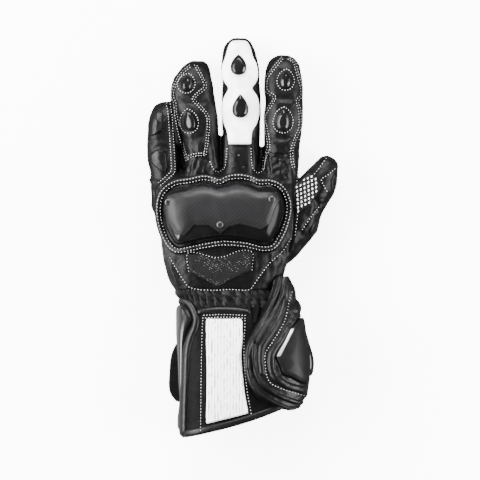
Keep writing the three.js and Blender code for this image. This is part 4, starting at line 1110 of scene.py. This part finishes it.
def hide_marks(v, n):
    """Creases at the joints, seams pulled in, and the hide's own small folds, in mm."""
    move = ripple(v, 11, 3) * 0.3 + ripple(v, 5, 8) * 0.14
    up = ease(n[:, 2], 0.15, 0.55)
    flat = v[:, :2]
    for x, y, reach, size, rise in CRUMPLES:
        near = np.exp(-(((flat - sheet([(x, y)])[0]) ** 2).sum(1)) / reach**2)
        move += up * near * rise * ripple(v * [1, 0.8, 1], size, int(x))
    for line, width, rise in HIDE_LINES:
        away = near_line(flat, smooth_line(sheet(line), 3))
        move += up * rise * np.exp(-((away / width) ** 2))
    under = ease(-n[:, 2], 0.6, 0.95)
    return move - under * 0.25 * (ripple(v, 16, 5) + 1)


CRUMPLES = [  # place on the sheet, reach, size of the folds and their rise
    (197, 168, 9, 5, 1.1), (240, 166, 9, 6, 0.4), (279, 164, 11, 4.6, 1.3), (285, 140, 10, 6, 0.8),
    (195, 145, 9, 6, 0.5),
    (165, 265, 12, 8, 0.7), (280, 255, 14, 7, 0.8), (262, 262, 10, 6, 0.5), (318, 205, 9, 5, 0.7),
    (305, 235, 12, 7, 0.7),
    (296, 250, 10, 6, 0.7), (155, 200, 9, 6, 0.6), (325, 168, 7, 5, 0.5), (290, 270, 12, 6, 0.9),
]
HIDE_LINES = [  # ridges and, with a fall in place of a rise, seams: the line on the sheet, half width, rise
    ([(208, 116), (211, 135), (214.5, 155), (217.5, 168)], 1.1, 0.8), ([(226, 136), (225, 152),
    (221.5, 168)], 1.1, 0.7),
    ([(252.5, 140), (253.5, 156), (255.5, 169)], 1.1, 0.8), ([(265, 138), (262, 156), (259, 169)], 1.1, 0.7),
    ([(177, 150), (181, 163), (187, 174)], 1.2, 0.9),
    ([(300.6, 118), (300, 140), (298, 160), (297, 180), (296.4, 200), (295.6, 220), (294, 240),
    (288, 256)], 1.0, 0.8),
    ([(157.5, 190), (160, 215), (164.5, 245), (171, 268), (178, 284)], 1.2, 0.7),
    ([(161, 262), (170, 276), (184, 292)], 1.6, 0.8), ([(327, 158.6), (319.5, 167), (314.6, 174)], 1.0, 0.7),
    (HAND_SEAM, 1.4, -0.5), (SIDE_SEAM, 1.4, -0.5),
    ([(189, 160), (198, 158.5), (208, 160)], 1.2, -0.6), ([(229, 148), (240, 147), (252, 148)], 1.2, -0.6),
    ([(212, 150), (213, 165), (219, 174), (226, 165), (227, 150)], 1.3, -0.4),
    ([(251, 150), (251, 166), (257, 175), (264, 166), (265, 150)], 1.3, -0.4),
    ([(296, 120), (293, 143), (291, 152), (293.5, 170), (294, 200), (292.5, 235)], 1.2, -0.6),
    ([(319, 206), (311, 217), (302, 230), (298, 245)], 1.4, -0.6), ([(312, 200), (322, 204),
    (330, 196)], 1.6, -0.6),
    ([(150, 152.5), (158, 147), (168, 148)], 1.6, -0.8), ([(150, 142), (160, 140), (169, 141)], 1.5, -0.5),
    ([(172, 104), (186, 104), (204, 102)], 2.2, -0.8), ([(222, 92), (240, 90), (256, 92)], 2.0, -0.5),
    ([(268, 101), (284, 99), (300, 101)], 2.2, -0.8), ([(296, 186), (305, 197), (318, 203)], 2.0, -0.5),
]
HIDE_LOWEST = 0.1  # mm over the floor


def hand_hide(sizes):
    """Palm, fingers and thumb as one hollow hide"""
    hide = grown(0.6, 90, 84, "hand_hide", sizes.hide_cell / MM)
    relaxed(hide, 8)
    v, n = points_of(hide)
    v += n * hide_marks(v, n)[:, None]
    v[:, 2] = np.maximum(v[:, 2], HIDE_LOWEST)
    move_points(hide, v)
    cut_out(hide, grown(-WALL, 30, 36, "hollow", 2.2, start=-0.12), "MANIFOLD")
    shade(hide.data, True)
    stalls = [f"{name}_finger_stall" for name in ("little", "ring", "middle", "index")] + ["thumb_stall"]
    settle(hide, "black", "hand_body", *stalls)


# The cuff: one loft that everything on the cuff is laid over


CUFF_FOLDS = [  # creases that run down from the wrist, half width and rise
    ([(247, 296), (250, 310), (252, 326)], 1.3, 1.2), ([(255, 293), (258, 306), (255, 322)], 1.3, 1.4),
    ([(263, 290), (267, 300), (264, 311)], 1.3, 1.5), ([(251, 300), (254, 312), (254, 324)], 1.0, -0.8),
    ([(259, 294), (262.5, 306), (260, 318)], 1.0, -0.9),
    ([(270, 288), (271, 296), (268, 303)], 1.2, 1.3), ([(252, 390), (262, 402), (276, 408)], 1.6, -0.5),
]
PAD_FORM = cuff_form(
    [(-0.2, -0.075, 0.825, 0.05, 0.66), (-0.086, -0.05, 0.88, 0.05, 0.68), (0.0, -0.046, 0.895, 0.04, 0.7),
     (0.09, -0.033, 0.92, 0.03, 0.775),
        (0.25, -0.012, 0.967, 0.0, 0.875)] + [tuple(row) for row in CUFF.rows[4:]]
)


MM_PER_TURN = 30  # mm round the cuff for one radian of turn, near enough


class CuffSkin:
    """The cuff's surface as a grid of points, cut on the slant of the hem."""

    SINK, DIP = 0.9, 0.5  # mm that a piece reaches under the hide, and that its top dips under it at the edge

    def __init__(self, grow=0.0, steps=170, turns=None, start=0.0, end=1.0, form=CUFF):
        self.closed = turns is None
        self.turn = full_turn(240) if turns is None else turns
        share = np.linspace(start, end, steps)[:, None] * np.ones(len(self.turn))
        scale = np.array([CUFF.width, CUFF.width, CUFF.thickness, CUFF.thickness])[:, None]
        along = share.copy()
        for _ in range(3):  # the hem's slant hangs on the place across, which hangs on the place along
            shift, wide, low, high = (form.section(along.ravel()) * scale).reshape(4, *along.shape)
            across = shift + (wide / 2 + grow) * bent(np.cos(self.turn), CUFF.power)
            bow = HEM_BOW * np.maximum(0, (across - BOW_START) / BOW_REACH) ** 2
            along = share * (CUFF.length - HEM_SLANT * across - bow) / CUFF.length
        up = (low + high) / 2 + ((high - low) / 2 + grow) * bent(np.sin(self.turn), CUFF.power)
        x, y = CUFF.place(across, -along * CUFF.length)
        self.points = np.stack([x, y, np.maximum(up, CUFF_FLOOR - grow)], -1)
        edge = shift + np.sign(np.cos(self.turn)) * (wide / 2 + grow)
        open_across = np.where(np.sin(self.turn) < 0, 2 * edge - across, across)
        self.flat = np.stack(CUFF.place(open_across, -along * CUFF.length), -1)
        self.share = share
        ahead = np.gradient(self.points, axis=0)
        if self.closed:
            side = np.roll(self.points, -1, 1) - np.roll(self.points, 1, 1)
        else:
            side = np.gradient(self.points, axis=1)
        out = unit(np.cross(ahead, side))
        middle = self.points.mean(axis=1, keepdims=True)
        if not self.closed:
            middle = middle * [1, 1, 0] + [0, 0, CUFF_THICKNESS / 2]
        self.out = out if ((self.points - middle) * out).sum() > 0 else -out

    def depth(self, outline):
        """How far inside an outline each point is, in mm; negative outside."""
        outline = smooth_line(outline, 1.2, True)
        flat = self.flat.reshape(-1, 2)
        away = near_line(flat, outline, True)
        return (away * np.where(inside(flat, outline), 1, -1)).reshape(self.share.shape)

    def past(self, turn):
        """How far past a turn each point is, in mm round the cuff."""
        return (self.turn[None, :] - turn) * MM_PER_TURN + 0 * self.share

    def away(self, path):
        """Distance to a path, in mm."""
        path = smooth_line(path, 1.2)
        return near_line(self.flat.reshape(-1, 2), path).reshape(self.share.shape)

    def piece(self, name, height):
        """The part of the skin where height is over the hide, raised by it."""
        rows, cols = height.shape
        quads = np.array(grid_faces(rows, cols)).reshape(rows - 1, cols, 4)
        quads = (quads if self.closed else quads[:, :-1]).reshape(-1, 4)
        h = height.ravel()
        quads = quads[(h[quads] > -self.DIP).any(1)]
        used, quads = np.unique(quads, return_inverse=True)
        p, n = self.points.reshape(-1, 3)[used], self.out.reshape(-1, 3)[used]
        top = p + n * np.maximum(h[used], -self.DIP)[:, None]
        return slab(name, top, p - n * self.SINK, quads.reshape(-1, 4).tolist())


def dome(depth, edge, height, outside=0.6):
    """A rounded edge that climbs to height over the first mm inside, and dips outside."""
    rise = np.sqrt(np.clip(1 - (1 - np.clip(depth / edge, 0, 1)) ** 2, 0, 1)) * height
    return np.where(depth > 0, rise, np.maximum(depth * 1.5, -outside))


def ridge(away, half, rise):
    """A soft roll's height at a distance from its middle."""
    return rise * np.sqrt(np.clip(1 - (away / half) ** 2, 0, 1))


def cuff_hide(sizes):
    """The cuff's hide and its hem binding"""
    outer = CuffSkin(steps=190, end=HIDE_END)
    spots = outer.points.reshape(-1, 3)
    wave = (ripple(spots, 16, 4) * 0.3 + ripple(spots, 7, 11) * 0.15).reshape(outer.share.shape)
    for line, half, rise in CUFF_FOLDS:
        wave += np.exp(-((outer.away(sheet(line)) / half) ** 2)) * rise
    front = outer.points + outer.out * wave[..., None]
    hide = sleeve("cuff_hide", front, CuffSkin(-WALL, steps=30, end=HIDE_END).points)
    settle(hide, "cuff", "cuff_shell")
    rim = CuffSkin(-0.2, steps=3, start=0.955, end=1.0)
    centre, out = rim.points[1][:, None], rim.out[1][:, None]
    ahead = unit(rim.points[2] - rim.points[0])[:, None]
    turn = full_turn(22)
    soft = np.sign(np.cos(turn)) * np.abs(np.cos(turn)) ** 0.75
    long, thick = soft[None, :, None] * HEM_HALF_LONG, np.sin(turn)[None, :, None] * HEM_HALF_THICK
    rings = centre + ahead * long + out * thick
    rings[..., 2] = np.maximum(rings[..., 2], 0.3)
    faces = grid_faces(len(centre), len(turn), True)
    hem = mend_normals(new_object("cuff_hem_binding", rings.reshape(-1, 3), faces))
    settle(hem, "padding", "cuff_hem")


HEM_HALF_LONG, HEM_HALF_THICK = 2.9, 1.9  # mm


def wrist_gather(sizes):
    """The ruffled band at the wrist, which follows the hand at one end and the cuff at the other"""
    steps = 60
    turn = full_turn(480)
    share = np.linspace(0, 1, steps)
    down = GATHER_TOP - GATHER_REACH * share

    def ring_of(form, along):
        shift, wide, low, high = form.section(along)[:, :, None]
        across = form.base[0] + form.width * (shift + wide / 2 * bent(np.cos(turn), form.power))
        up = (high + low) / 2 + (high - low) / 2 * bent(np.sin(turn), form.power)
        return np.stack([across, form.thickness * up], -1)

    hand = ring_of(PALM, np.zeros(steps))
    cuff = ring_of(CUFF, np.maximum(-GATHER_LENGTH - down, 0) / CUFF.length)
    blend = ease(-down, 0, GATHER_LENGTH)[:, None, None]
    ring = hand * (1 - blend) + cuff * blend
    out = unit(ring - hand.mean((0, 1)))
    folds = sizes.gather_folds
    wobble = ripple(np.stack([np.cos(turn) * 40, np.sin(turn) * 40, turn * 0], -1), 17, 6)[None, :]
    a = folds * turn[None, :] / 2 + RUFFLE_SLANT * share[:, None] + wobble * 0.8
    b = folds * turn[None, :] / 2 - RUFFLE_SLANT * share[:, None] + wobble * 0.5
    ruffle = (np.abs(np.sin(a)) * np.abs(np.sin(b))) ** 0.6
    swell = np.sin(math.pi * share)[:, None] ** 0.55
    place = ring + out * (swell * (2.5 * ruffle + 0.5 * wobble) - 0.7)[..., None]
    y = ORIGIN[1] + down[:, None] + 0.5 * np.sin(folds * turn[None, :]) * swell
    outer = np.stack([place[..., 0], y, np.maximum(place[..., 1], 0.2)], -1)
    inner_ring = ring - out * (WALL * 0.75)
    inner = np.stack([inner_ring[..., 0], y, np.maximum(inner_ring[..., 1], 1.0)], -1)[::6]
    settle(sleeve("wrist_gather_band", outer, inner), "black", "wrist_gather")


GATHER_TOP, GATHER_REACH = 1.8, 15.0  # mm: where the band starts, up from the palm's end, and its length
RUFFLE_SLANT = math.pi * 1.3  # turn that the folds make from end to end


# Panels, pads and studs of the fingers


def panel_on(outline, name, look, node, thickness=1.5, edge=1.3, **more):
    settle(laid(name, outline, thickness, edge, lift=0.3, **more), look, node)


def on_hide(p):
    """Points of the sheet as points in space, for ripple."""
    return np.column_stack([p, p[:, 0] * 0])


def finger_panels(sizes):
    """The sewn panels of the ring, middle and index fingers"""
    def soft(seed, folds=()):
        def profile(p, d):
            move = ripple(on_hide(p), 8, seed) * 0.25 + ripple(on_hide(p), 4.5, seed + 20) * 0.12
            for line, half, rise in folds:
                move = move + rise * np.exp(-((near_line(p, smooth_line(sheet(line), 2)) / half) ** 2))
            return move * ease(d, 0.5, 3)
        return profile

    ring, middle, index = RING.on(RING_PANEL), MIDDLE.on(MIDDLE_PANEL), INDEX.on(INDEX_PANEL)
    panel_on(ring, "ring_panel_leather", "black", "ring_finger_panel", profile=soft(1, RING_FOLDS))
    panel_on(middle, "middle_panel_leather", "white", "middle_finger_panel", 1.7, 1.7, profile=soft(2))
    panel_on(index, "index_panel_leather", "black", "index_finger_panel", profile=soft(4, INDEX_FOLDS))


RING_FOLDS = [
    ([(181, 98), (190, 102), (200, 104)], 1.8, -0.6), ([(179, 136), (190, 140), (203, 137)], 1.8, -0.7),
    ([(183, 145), (190, 150), (193, 156)], 1.5, 0.7), ([(202, 140), (199, 148), (199, 155)], 1.5, 0.7),
]
INDEX_FOLDS = [
    ([(272, 97), (284, 99), (297, 99)], 1.8, -0.5), ([(270, 136), (283, 139), (296, 135)], 1.8, -0.9),
    ([(271, 142), (283, 144.5), (293, 141)], 1.6, 0.6), ([(276, 147), (277, 151), (276, 154)], 1.4, 0.6),
    ([(268, 101), (283, 104), (298, 103)], 1.6, 0.4),
]


def drop(form, across, along, wide, long, turn, point):
    """A stud's outline, pointed at its upper end, and its middle."""
    wide, long = wide * 1.08, long * 1.1
    t = full_turn(36)
    x = np.sin(t) * np.abs(np.sin(t / 2)) ** point
    x *= wide / 2 / x.max()
    y = long / 2 * np.cos(t)
    c, s = math.cos(math.radians(turn)), math.sin(math.radians(turn))
    px, py = form.place(across * form.width + x * c + y * s, along * form.length - x * s + y * c)
    return np.stack([px, py], -1), np.array([*form.place(across * form.width, along * form.length)])


def finger_studs(sizes):
    """The hard drops on the fingers"""
    for node, (form, *where) in STUDS.items():
        outline, centre = drop(form, *where)

        def facets(p, d, centre=centre):
            return np.minimum(d * 0.6, 1.5) + 0.06 * (p[:, 0] - centre[0])

        stud = laid(node + "_shell", outline, 1.3, 0.9, 0.45, lift=0.2, profile=facets, calm=30)
        settle(stud, "gloss", node)


def little_pads(sizes):
    """The padded pieces of the little finger and the thumb"""
    def crown(p, d):
        return 0.5 * ease(d, 1.5, 5) + 0.12 * ripple(on_hide(p), 5, 2)

    for marks, node, rise in (
        (LITTLE_PAD_TIP, "little_pad_tip", 2.2), (LITTLE_PAD_BASE, "little_pad_base", 2.2),
        (THUMB_PAD_TIP, "thumb_pad_tip", 1.6), (THUMB_PAD_BASE, "thumb_pad_base", 1.6),
    ):
        pad = laid(node + "_cushion", crisp(sheet(marks)), rise, 0.9, 0.6, profile=crown)
        settle(pad, "padding", node)


def finger_bridge(sizes):
    """The strip between the little and ring fingers"""
    left = LITTLE.on([(0.36, 0.86), (0.46, 0.68), (0.5, 0.5)])
    right = RING.on([(-0.5, 0.6), (-0.45, 0.46), (-0.38, 0.34)])
    path = [((a[0] + b[0]) / 2, (a[1] + b[1]) / 2) for a, b in zip(left, right)]
    line = smooth_line(path)
    spine = np.column_stack([line, np.full(len(line), LITTLE_THICKNESS * 0.82)])
    turn = full_turn(20)
    share = np.linspace(0, 1, len(line))
    swell = np.clip(np.minimum(share, 1 - share) * 9, 0.05, 1) ** 0.5
    section = np.stack([np.cos(turn) * 2.5, turn * 0, np.sin(turn) * 1.7], -1)
    bridge = capped("finger_bridge_strip", spine[:, None] + section[None] * swell[:, None, None])
    settle(bridge, "black", "finger_bridge")


# Knuckle guard


# mm in from the guard's edge, and the share of its rise that it has reached there
GUARD_CLIMB = ([0, 0.4, 1.0, 2.0, 4, 8, 14, 22], [0, 0.2, 0.47, 0.7, 0.85, 0.94, 0.985, 1.0])


def knuckle_guard(sizes):
    """The hard shell over the knuckles and its plate"""
    rise = sizes.guard_rise / MM

    def shell(p, d):
        climb = np.interp(d, *GUARD_CLIMB) * rise
        bumps = sum(0.7 * np.exp(-(((p[:, 0] - x) / 9) ** 2)) for x in KNUCKLES) * ease(d, 3, 10)
        return climb + bumps - 1.0

    guard = laid("knuckle_guard_shell", PALM.on(GUARD), 1.0, 0.5, 0.75, profile=shell, calm=40)
    settle(guard, "shell", "knuckle_guard")
    plate = laid(
        "knuckle_plate_inlay", crisp(sheet(PLATE), 0.2), sizes.plate_rise / MM, 0.7, 0.6, lift=0.1, calm=3,
        profile=lambda p, d: 0.35 * ease(d, 1.0, 4.0),
    )
    settle(plate, "weave", "knuckle_plate")


KNUCKLES = [ORIGIN[0] + x for x in (26.0, 62.0, 92.0)]


def knuckle_roll(sizes):
    """The padded roll round the guard"""
    ring = roll("knuckle_roll_cushion", PALM.on(GUARD_ROLL), 6.2, 3.3, step=0.9, sides=24, lift=0.2, calm=10)
    settle(ring, "padding", "knuckle_roll")


# mm: radius and height of a screw's head
SCREW_PROFILE = [(0.01, -1.2), (2.5, -1.2), (2.5, 0.5), (2.3, 0.85), (1.9, 1.08), (1.4, 1.16), (0.01, 1.2)]
CROSS = (2.7, 0.65, 1.4)  # mm: length, width and height of each bar that cuts the cross
CROSS_LIFT = 1.3  # mm, from the seat to the middle of the bars


def knuckle_screws(sizes):
    """The three screws in the guard, each with a rounded rim and a cross"""
    for k, (x, y) in enumerate(sheet(SCREWS)):
        seat = float(relief.at(np.array([[x, y]]), relief.soft(8))[0])
        rings = [
            [(x + r * math.cos(t), y + r * math.sin(t), seat + z) for t in full_turn(40)]
            for r, z in SCREW_PROFILE
        ]
        head = capped(f"knuckle_screw_head_{k + 1}", np.array(rings))
        for spin in (0, math.pi / 2):
            bm = bmesh.new()
            bmesh.ops.create_cube(bm, size=1.0)
            bmesh.ops.scale(bm, vec=Vector(CROSS) * MM, verts=bm.verts)
            bmesh.ops.rotate(bm, matrix=Matrix.Rotation(spin + 0.5 + k, 3, "Z"), verts=bm.verts)
            bmesh.ops.translate(bm, vec=Vector((x, y, seat + CROSS_LIFT)) * MM, verts=bm.verts)
            cut_out(head, from_bmesh("slot", bm), "EXACT")
        shade(head.data, False)
        finish(head, "steel", f"knuckle_screw_{k + 1}")


def back_patch(sizes):
    """The rough patch on the back of the hand"""
    def tufts(p, d):
        return 0.25 * np.abs(np.sin((p[:, 0] * 0.8 + p[:, 1]) * 1.5)) * ease(d, 0.8, 2)

    outline = crisp(PALM.on(BACK_PATCH), 0.25)
    panel_on(outline, "back_patch_suede", "suede", "back_patch", 1.1, 0.8, profile=tufts)


DOT_ROWS = math.radians(-32)  # turn of the rows of dots


def thumb_grip(sizes):
    """The thumb's grip panel and its rows of raised dots"""
    outline = smooth_line(crisp(sheet(THUMB_GRIP)), 1.0, True)
    panel_on(outline, "thumb_grip_leather", "suede", "thumb_grip_panel", 1.0, 0.8)
    low, high = outline.min(0), outline.max(0)
    pitch = sizes.dot_pitch / MM
    dots = []
    reach = np.hypot(*(high - low)) / 2
    c, s = math.cos(DOT_ROWS), math.sin(DOT_ROWS)
    for i, v in enumerate(np.arange(-reach, reach, pitch * 0.72)):
        for u in np.arange(-reach + (i % 2) * pitch / 2, reach, pitch):
            dots.append((u * c - v * s, u * s + v * c))
    dots = np.array(dots) + (low + high) / 2
    dots = dots[inside(dots, outline)]
    dots = dots[near_line(dots, outline, True) > 0.5]
    grains_on("thumb_grip_dots", dots, 2, (0.3, 1.0, 0.0), (1.95, 1.2, 0.9), "dot", 10)


# Cuff panels, pads and guards


def cuff_white_panel(sizes):
    """The tucked white panel of the cuff"""
    skin = CuffSkin(turns=np.linspace(0.33, 0.72, 420) * math.pi, start=0.1, end=HIDE_END)
    depth = skin.depth(sheet(WHITE_PANEL))
    across = skin.flat[..., 0]
    tuck = np.abs(((across / (sizes.tuck_pitch / MM)) % 1.0) - 0.5) * 2
    groove = ease(tuck, 0.72, 1.0) * 0.75 * ease(depth, 1.2, 2.4)
    panel = skin.piece("cuff_panel_tucked", dome(depth, 1.4, 1.7) - np.where(depth > 0, groove, 0))
    settle(panel, "tucked", "cuff_white_panel")


def cuff_pads(sizes):
    """The chevron pad on the thumb side, its soft rolls and the hard pieces set in it"""
    turns = np.linspace(-0.22, 0.62, 290) * math.pi
    skin = CuffSkin(steps=215, turns=turns, start=-0.215, end=1.09, form=PAD_FORM)
    depth = np.minimum(skin.depth(sheet(PAD_OUTLINE)), skin.past(-0.17 * math.pi))
    rolls = np.max([ridge(skin.away(sheet(path)), half, rise) for path, half, rise in PAD_ROLLS], axis=0)
    spots = skin.points.reshape(-1, 3)
    folds = (ripple(spots, 8, 9) * 0.25 + ripple(spots, 4.5, 12) * 0.12).reshape(depth.shape)
    height = dome(depth, 2.0, 1.7) + np.where(depth > 0, rolls * ease(depth, 0, 1.2), 0)
    height += np.where(depth > 1, folds, 0)
    height += np.maximum(dome(skin.depth(sheet(PAD_TAB)), 0.7, 1.2), 0)
    for x, y in PAD_EYELETS:
        centre = np.array(sheet([(x, y)])[0])
        height -= 1.6 * np.exp(-((skin.flat - centre) ** 2).sum(-1) / 0.85**2)
    height -= ease(skin.depth(sheet(CUFF_GUARD)), -0.9, 0.2) * 1.2
    pad = skin.piece("cuff_pad_cushion", height)
    settle(pad, "padding", "cuff_pad")
    depth = skin.depth(sheet(CUFF_GUARD))
    roof = np.interp(depth, [0, 0.6, 3.0, 9.0], [0, 0, 1.0, 1.5])
    guard = skin.piece("cuff_guard_shell", dome(depth, 0.7, 3.0) + roof)
    settle(guard, "shield", "cuff_guard")
    depth = np.minimum(skin.depth(sheet(SIDE_GUARD)), skin.past(-0.14 * math.pi))
    rise = np.interp(skin.share, [0.2, 0.65], [2.8, 5.6])
    settle(skin.piece("cuff_side_guard_shell", dome(depth, 1.6, rise, 0.5)), "gloss", "cuff_side_guard")


def piping(away, half, rise):
    """Height of a soft cord of leather, and of the hide's dip beside it."""
    return np.where(away < half, ridge(away, half, rise), half - away)


def cuff_edge(sizes):
    """The gloss strip on the little-finger side, the roll along it and the bound top of the cuff"""
    skin = CuffSkin(steps=220, turns=np.linspace(0.45, 1.2, 330) * math.pi, start=-0.06, end=HIDE_END)
    depth = np.minimum(skin.depth(sheet(EDGE_GUARD)), -skin.past(1.15 * math.pi))
    settle(skin.piece("cuff_edge_guard_shell", dome(depth, 4.5, 4.0)), "strip", "cuff_edge_guard")
    cord = skin.piece("cuff_edge_piping", piping(skin.away(sheet(EDGE_ROLL)), 2.5, 2.3))
    settle(cord, "padding", "cuff_edge_roll")
    skin = CuffSkin(steps=200, turns=np.linspace(0.28, 0.82, 280) * math.pi, start=0.0, end=0.3)
    settle(skin.piece("cuff_top_band", piping(skin.away(sheet(TOP_BAND)), 2.3, 1.8)), "padding")


def closing_strap(sizes):
    """The strap under the cuff"""
    strap = laid("closing_strap", smooth_line(CUFF.on(STRAP), 1.0, True), 1.0, 0.8, 1.6, level=0.0)
    finish(strap, "black", "cuff_strap")


# Stitching


def double(lines, away=0.85):
    """Two rows beside each line on the sheet."""
    return [row for line in lines for row in (beside(sheet(line), -away), beside(sheet(line), away)[1:])]


def stitching(sizes):
    """All rows of thread, and the small holes"""
    pitch, size = sizes.stitch_pitch / MM, (sizes.stitch_length / MM, 0.52, 0.45)
    rings = [
        beside(drop(form, across, along, wide + 4.2, long + 2.6, turn, 0.3)[0], 0.0, True)
        for form, across, along, wide, long, turn, _ in STUDS.values() if form is not MIDDLE
    ]
    fingers = double(RING_THREAD + INDEX_THREAD) + double(LITTLE_THREAD, 1.35)
    fingers += [sheet(line) for line in CROTCH_THREAD]
    stitched("finger_stitches", fingers, pitch, size)
    stitched("stud_stitches", rings, pitch, size)
    guard_line = PALM.on(GUARD_ROLL)
    hand = [beside(guard_line, -1.2, True), beside(guard_line, 1.2, True)[1:]]
    hand += [sheet(line) for line in THUMB_THREAD + [HAND_SEAM, SIDE_SEAM]]
    hand += [beside(PALM.on(BACK_PATCH[-1:] + BACK_PATCH[:9]), 0.5)]
    stitched("hand_stitches", hand, pitch * 1.15, size)
    cuff = double(CUFF_THREAD[:1], 1.0) + [sheet(line) for line in CUFF_THREAD[1:] + [PAD_SEAM]]
    stitched("cuff_stitches", cuff, pitch * 1.1, size)
    for name, places, look in (("finger_perforations", FINGER_HOLES, "gloss"),
        ("finger_eyelet", FINGER_EYELET, "steel")):
        grains_on(name, np.array(sheet(places)), 1, (1.0, 0.0, 0.0), (1.5, 1.5, 0.5), look, 12)


# Stage


def stage(sizes):
    """White floor, a pale world, soft lamps and the camera straight above"""
    world = bpy.data.worlds.new("studio")
    world.use_nodes = True
    world.node_tree.nodes["Background"].inputs["Color"].default_value = (1, 1, 1, 1)
    world.node_tree.nodes["Background"].inputs["Strength"].default_value = sizes.world_light
    bpy.context.scene.world = world
    bm = bmesh.new()
    bmesh.ops.create_grid(bm, x_segments=8, y_segments=8, size=FLOOR_HALF)
    floor = from_bmesh("floor", bm)
    f = Finish("floor paper")
    paper = f.mix(f.noise(30, 2), grey(0.9), grey(0.92))
    floor.data.materials.append(
        f.set(Base_Color=paper, Roughness=0.9, Emission_Color=grey(1.0), Emission_Strength=6.0)
    )
    floor.visible_diffuse = floor.visible_glossy = False
    for name, place, target, size, power in LAMPS:
        lamp = bpy.data.lights.new(name, "AREA")
        lamp.shape, lamp.size, lamp.size_y, lamp.energy = "RECTANGLE", *size, power
        obj = linked(name, lamp)
        obj.location = place
        obj.rotation_euler = (Vector(target) - Vector(place)).to_track_quat("-Z", "Y").to_euler()
        obj.visible_camera = False
    camera = bpy.data.cameras.new("camera")
    camera.lens, camera.sensor_width, camera.clip_end = CAMERA_LENS, 36.0, 10
    view = linked("camera", camera)
    x, y = sheet([SHEET_MIDDLE])[0]
    view.location = (x * MM, y * MM, CAMERA_HEIGHT)
    bpy.context.scene.camera = view


FLOOR_HALF = 4.0  # m
CAMERA_LENS, CAMERA_HEIGHT = 218.0, 2.2  # mm and m
SHEET_MIDDLE = (240, 240)
LAMPS = [  # name, place, target, size in m and power in W
    ("left window", (-1.05, 0.1, 0.68), (0, 0, 0), (1.3, 0.55), 85.0),
    ("right window", (1.1, -0.15, 0.65), (0, 0, 0), (1.0, 0.4), 55.0),
    ("top window", (0.0, 1.1, 0.65), (0, 0, 0), (0.9, 0.4), 55.0),
    ("low left strip", (-1.0, 0.0, 0.3), (0, 0, 0), (1.4, 0.5), 24.0),
    ("low right strip", (1.0, 0.0, 0.25), (0, 0, 0), (1.2, 0.25), 9.0),
    ("floor glow", (-0.16, -0.095, 0.004), (-0.16, -0.095, 1.0), (0.19, 0.19), 0.15),
]


# The add-on's properties, operators and panel


def mm(label, text, value, low, high):
    """A length, given in mm."""
    return bpy.props.FloatProperty(
        name=label, description=text, default=value * MM, min=low * MM, max=high * MM,
        subtype="DISTANCE", unit="LENGTH",
    )


def share(label, text, value):
    """A strength or tone."""
    return bpy.props.FloatProperty(
        name=label, description=text, default=value, min=0.0, max=2.0, subtype="FACTOR",
    )


class GauntletSizes(bpy.types.PropertyGroup):
    """Sizes of the details that are laid on the hide"""

    hide_cell: mm("Hide cell", "Size of the hide's mesh cells", 0.95, 0.8, 3.0)
    stitch_length: mm("Stitch length", "Length of one stitch", 0.85, 0.6, 3.0)
    stitch_pitch: mm("Stitch pitch", "Distance from one stitch to the next", 2.05, 0.9, 4.0)
    guard_rise: mm("Guard rise", "Height of the knuckle guard over the hide", 8.5, 3.0, 10.0)
    plate_rise: mm("Plate rise", "Height of the inlaid plate over the guard", 1.4, 0.5, 3.0)
    tuck_pitch: mm("Tuck pitch", "Distance between the tucks of the white cuff panel", 2.25, 1.0, 6.0)
    dot_pitch: mm("Dot pitch", "Distance between the thumb's grip dots", 3.5, 1.5, 8.0)
    gather_folds: bpy.props.IntProperty(
        name="Gather folds", description="Ruffles round the wrist", default=40, min=8, max=90,
    )
    world_light: share("World light", "Brightness of the studio's walls", 0.3)


class GauntletColours(bpy.types.PropertyGroup):
    """Tones of the leathers and the thread"""

    black: share("Black leather", "Tone of the black hide", 0.002)
    white: share("White leather", "Tone of the white hide", 0.88)
    thread: share("Thread", "Tone of the thread", 0.62)


BUILDERS = [  # in the order in which pieces lie on one another
    hand_hide, cuff_hide, wrist_gather, finger_panels, little_pads, finger_bridge, finger_studs, back_patch,
    knuckle_guard, knuckle_roll, knuckle_screws, thumb_grip, cuff_white_panel, cuff_pads, cuff_edge,
    closing_strap, stitching, stage,
]


def operator_for(build):
    """An operator that runs one builder, named and described after it."""
    def execute(self, context):
        if not FINISH:
            FINISH.update(make_finishes(context.scene.gauntlet_colours))
        build(context.scene.gauntlet_sizes)
        return {"FINISHED"}

    key = build.__name__
    return type("GAUNTLET_OT_" + key, (bpy.types.Operator,), {
        "__doc__": build.__doc__, "bl_idname": "gauntlet." + key, "execute": execute,
        "bl_label": key.replace("_", " ").capitalize(), "bl_options": {"REGISTER", "UNDO"},
    })


OPERATORS = [operator_for(build) for build in BUILDERS]


class GAUNTLET_PT_sidebar(bpy.types.Panel):
    """Lists the gauntlet's pieces and their sizes"""

    bl_idname = "GAUNTLET_PT_sidebar"
    bl_label = "Riding gauntlet"
    bl_space_type = "VIEW_3D"
    bl_region_type = "UI"
    bl_category = "Gauntlet"

    def draw(self, context):
        for group in (context.scene.gauntlet_sizes, context.scene.gauntlet_colours):
            for key in group.__annotations__:
                self.layout.prop(group, key)
        for operator in OPERATORS:
            self.layout.operator(operator.bl_idname)


CLASSES = [GauntletSizes, GauntletColours, *OPERATORS, GAUNTLET_PT_sidebar]


def register():
    for cls in CLASSES:
        bpy.utils.register_class(cls)
    bpy.types.Scene.gauntlet_sizes = bpy.props.PointerProperty(type=GauntletSizes)
    bpy.types.Scene.gauntlet_colours = bpy.props.PointerProperty(type=GauntletColours)


def unregister():
    del bpy.types.Scene.gauntlet_colours, bpy.types.Scene.gauntlet_sizes
    for cls in reversed(CLASSES):
        bpy.utils.unregister_class(cls)


def main():
    register()
    for build in BUILDERS:
        getattr(bpy.ops.gauntlet, build.__name__)()


if __name__ == "__main__":
    main()
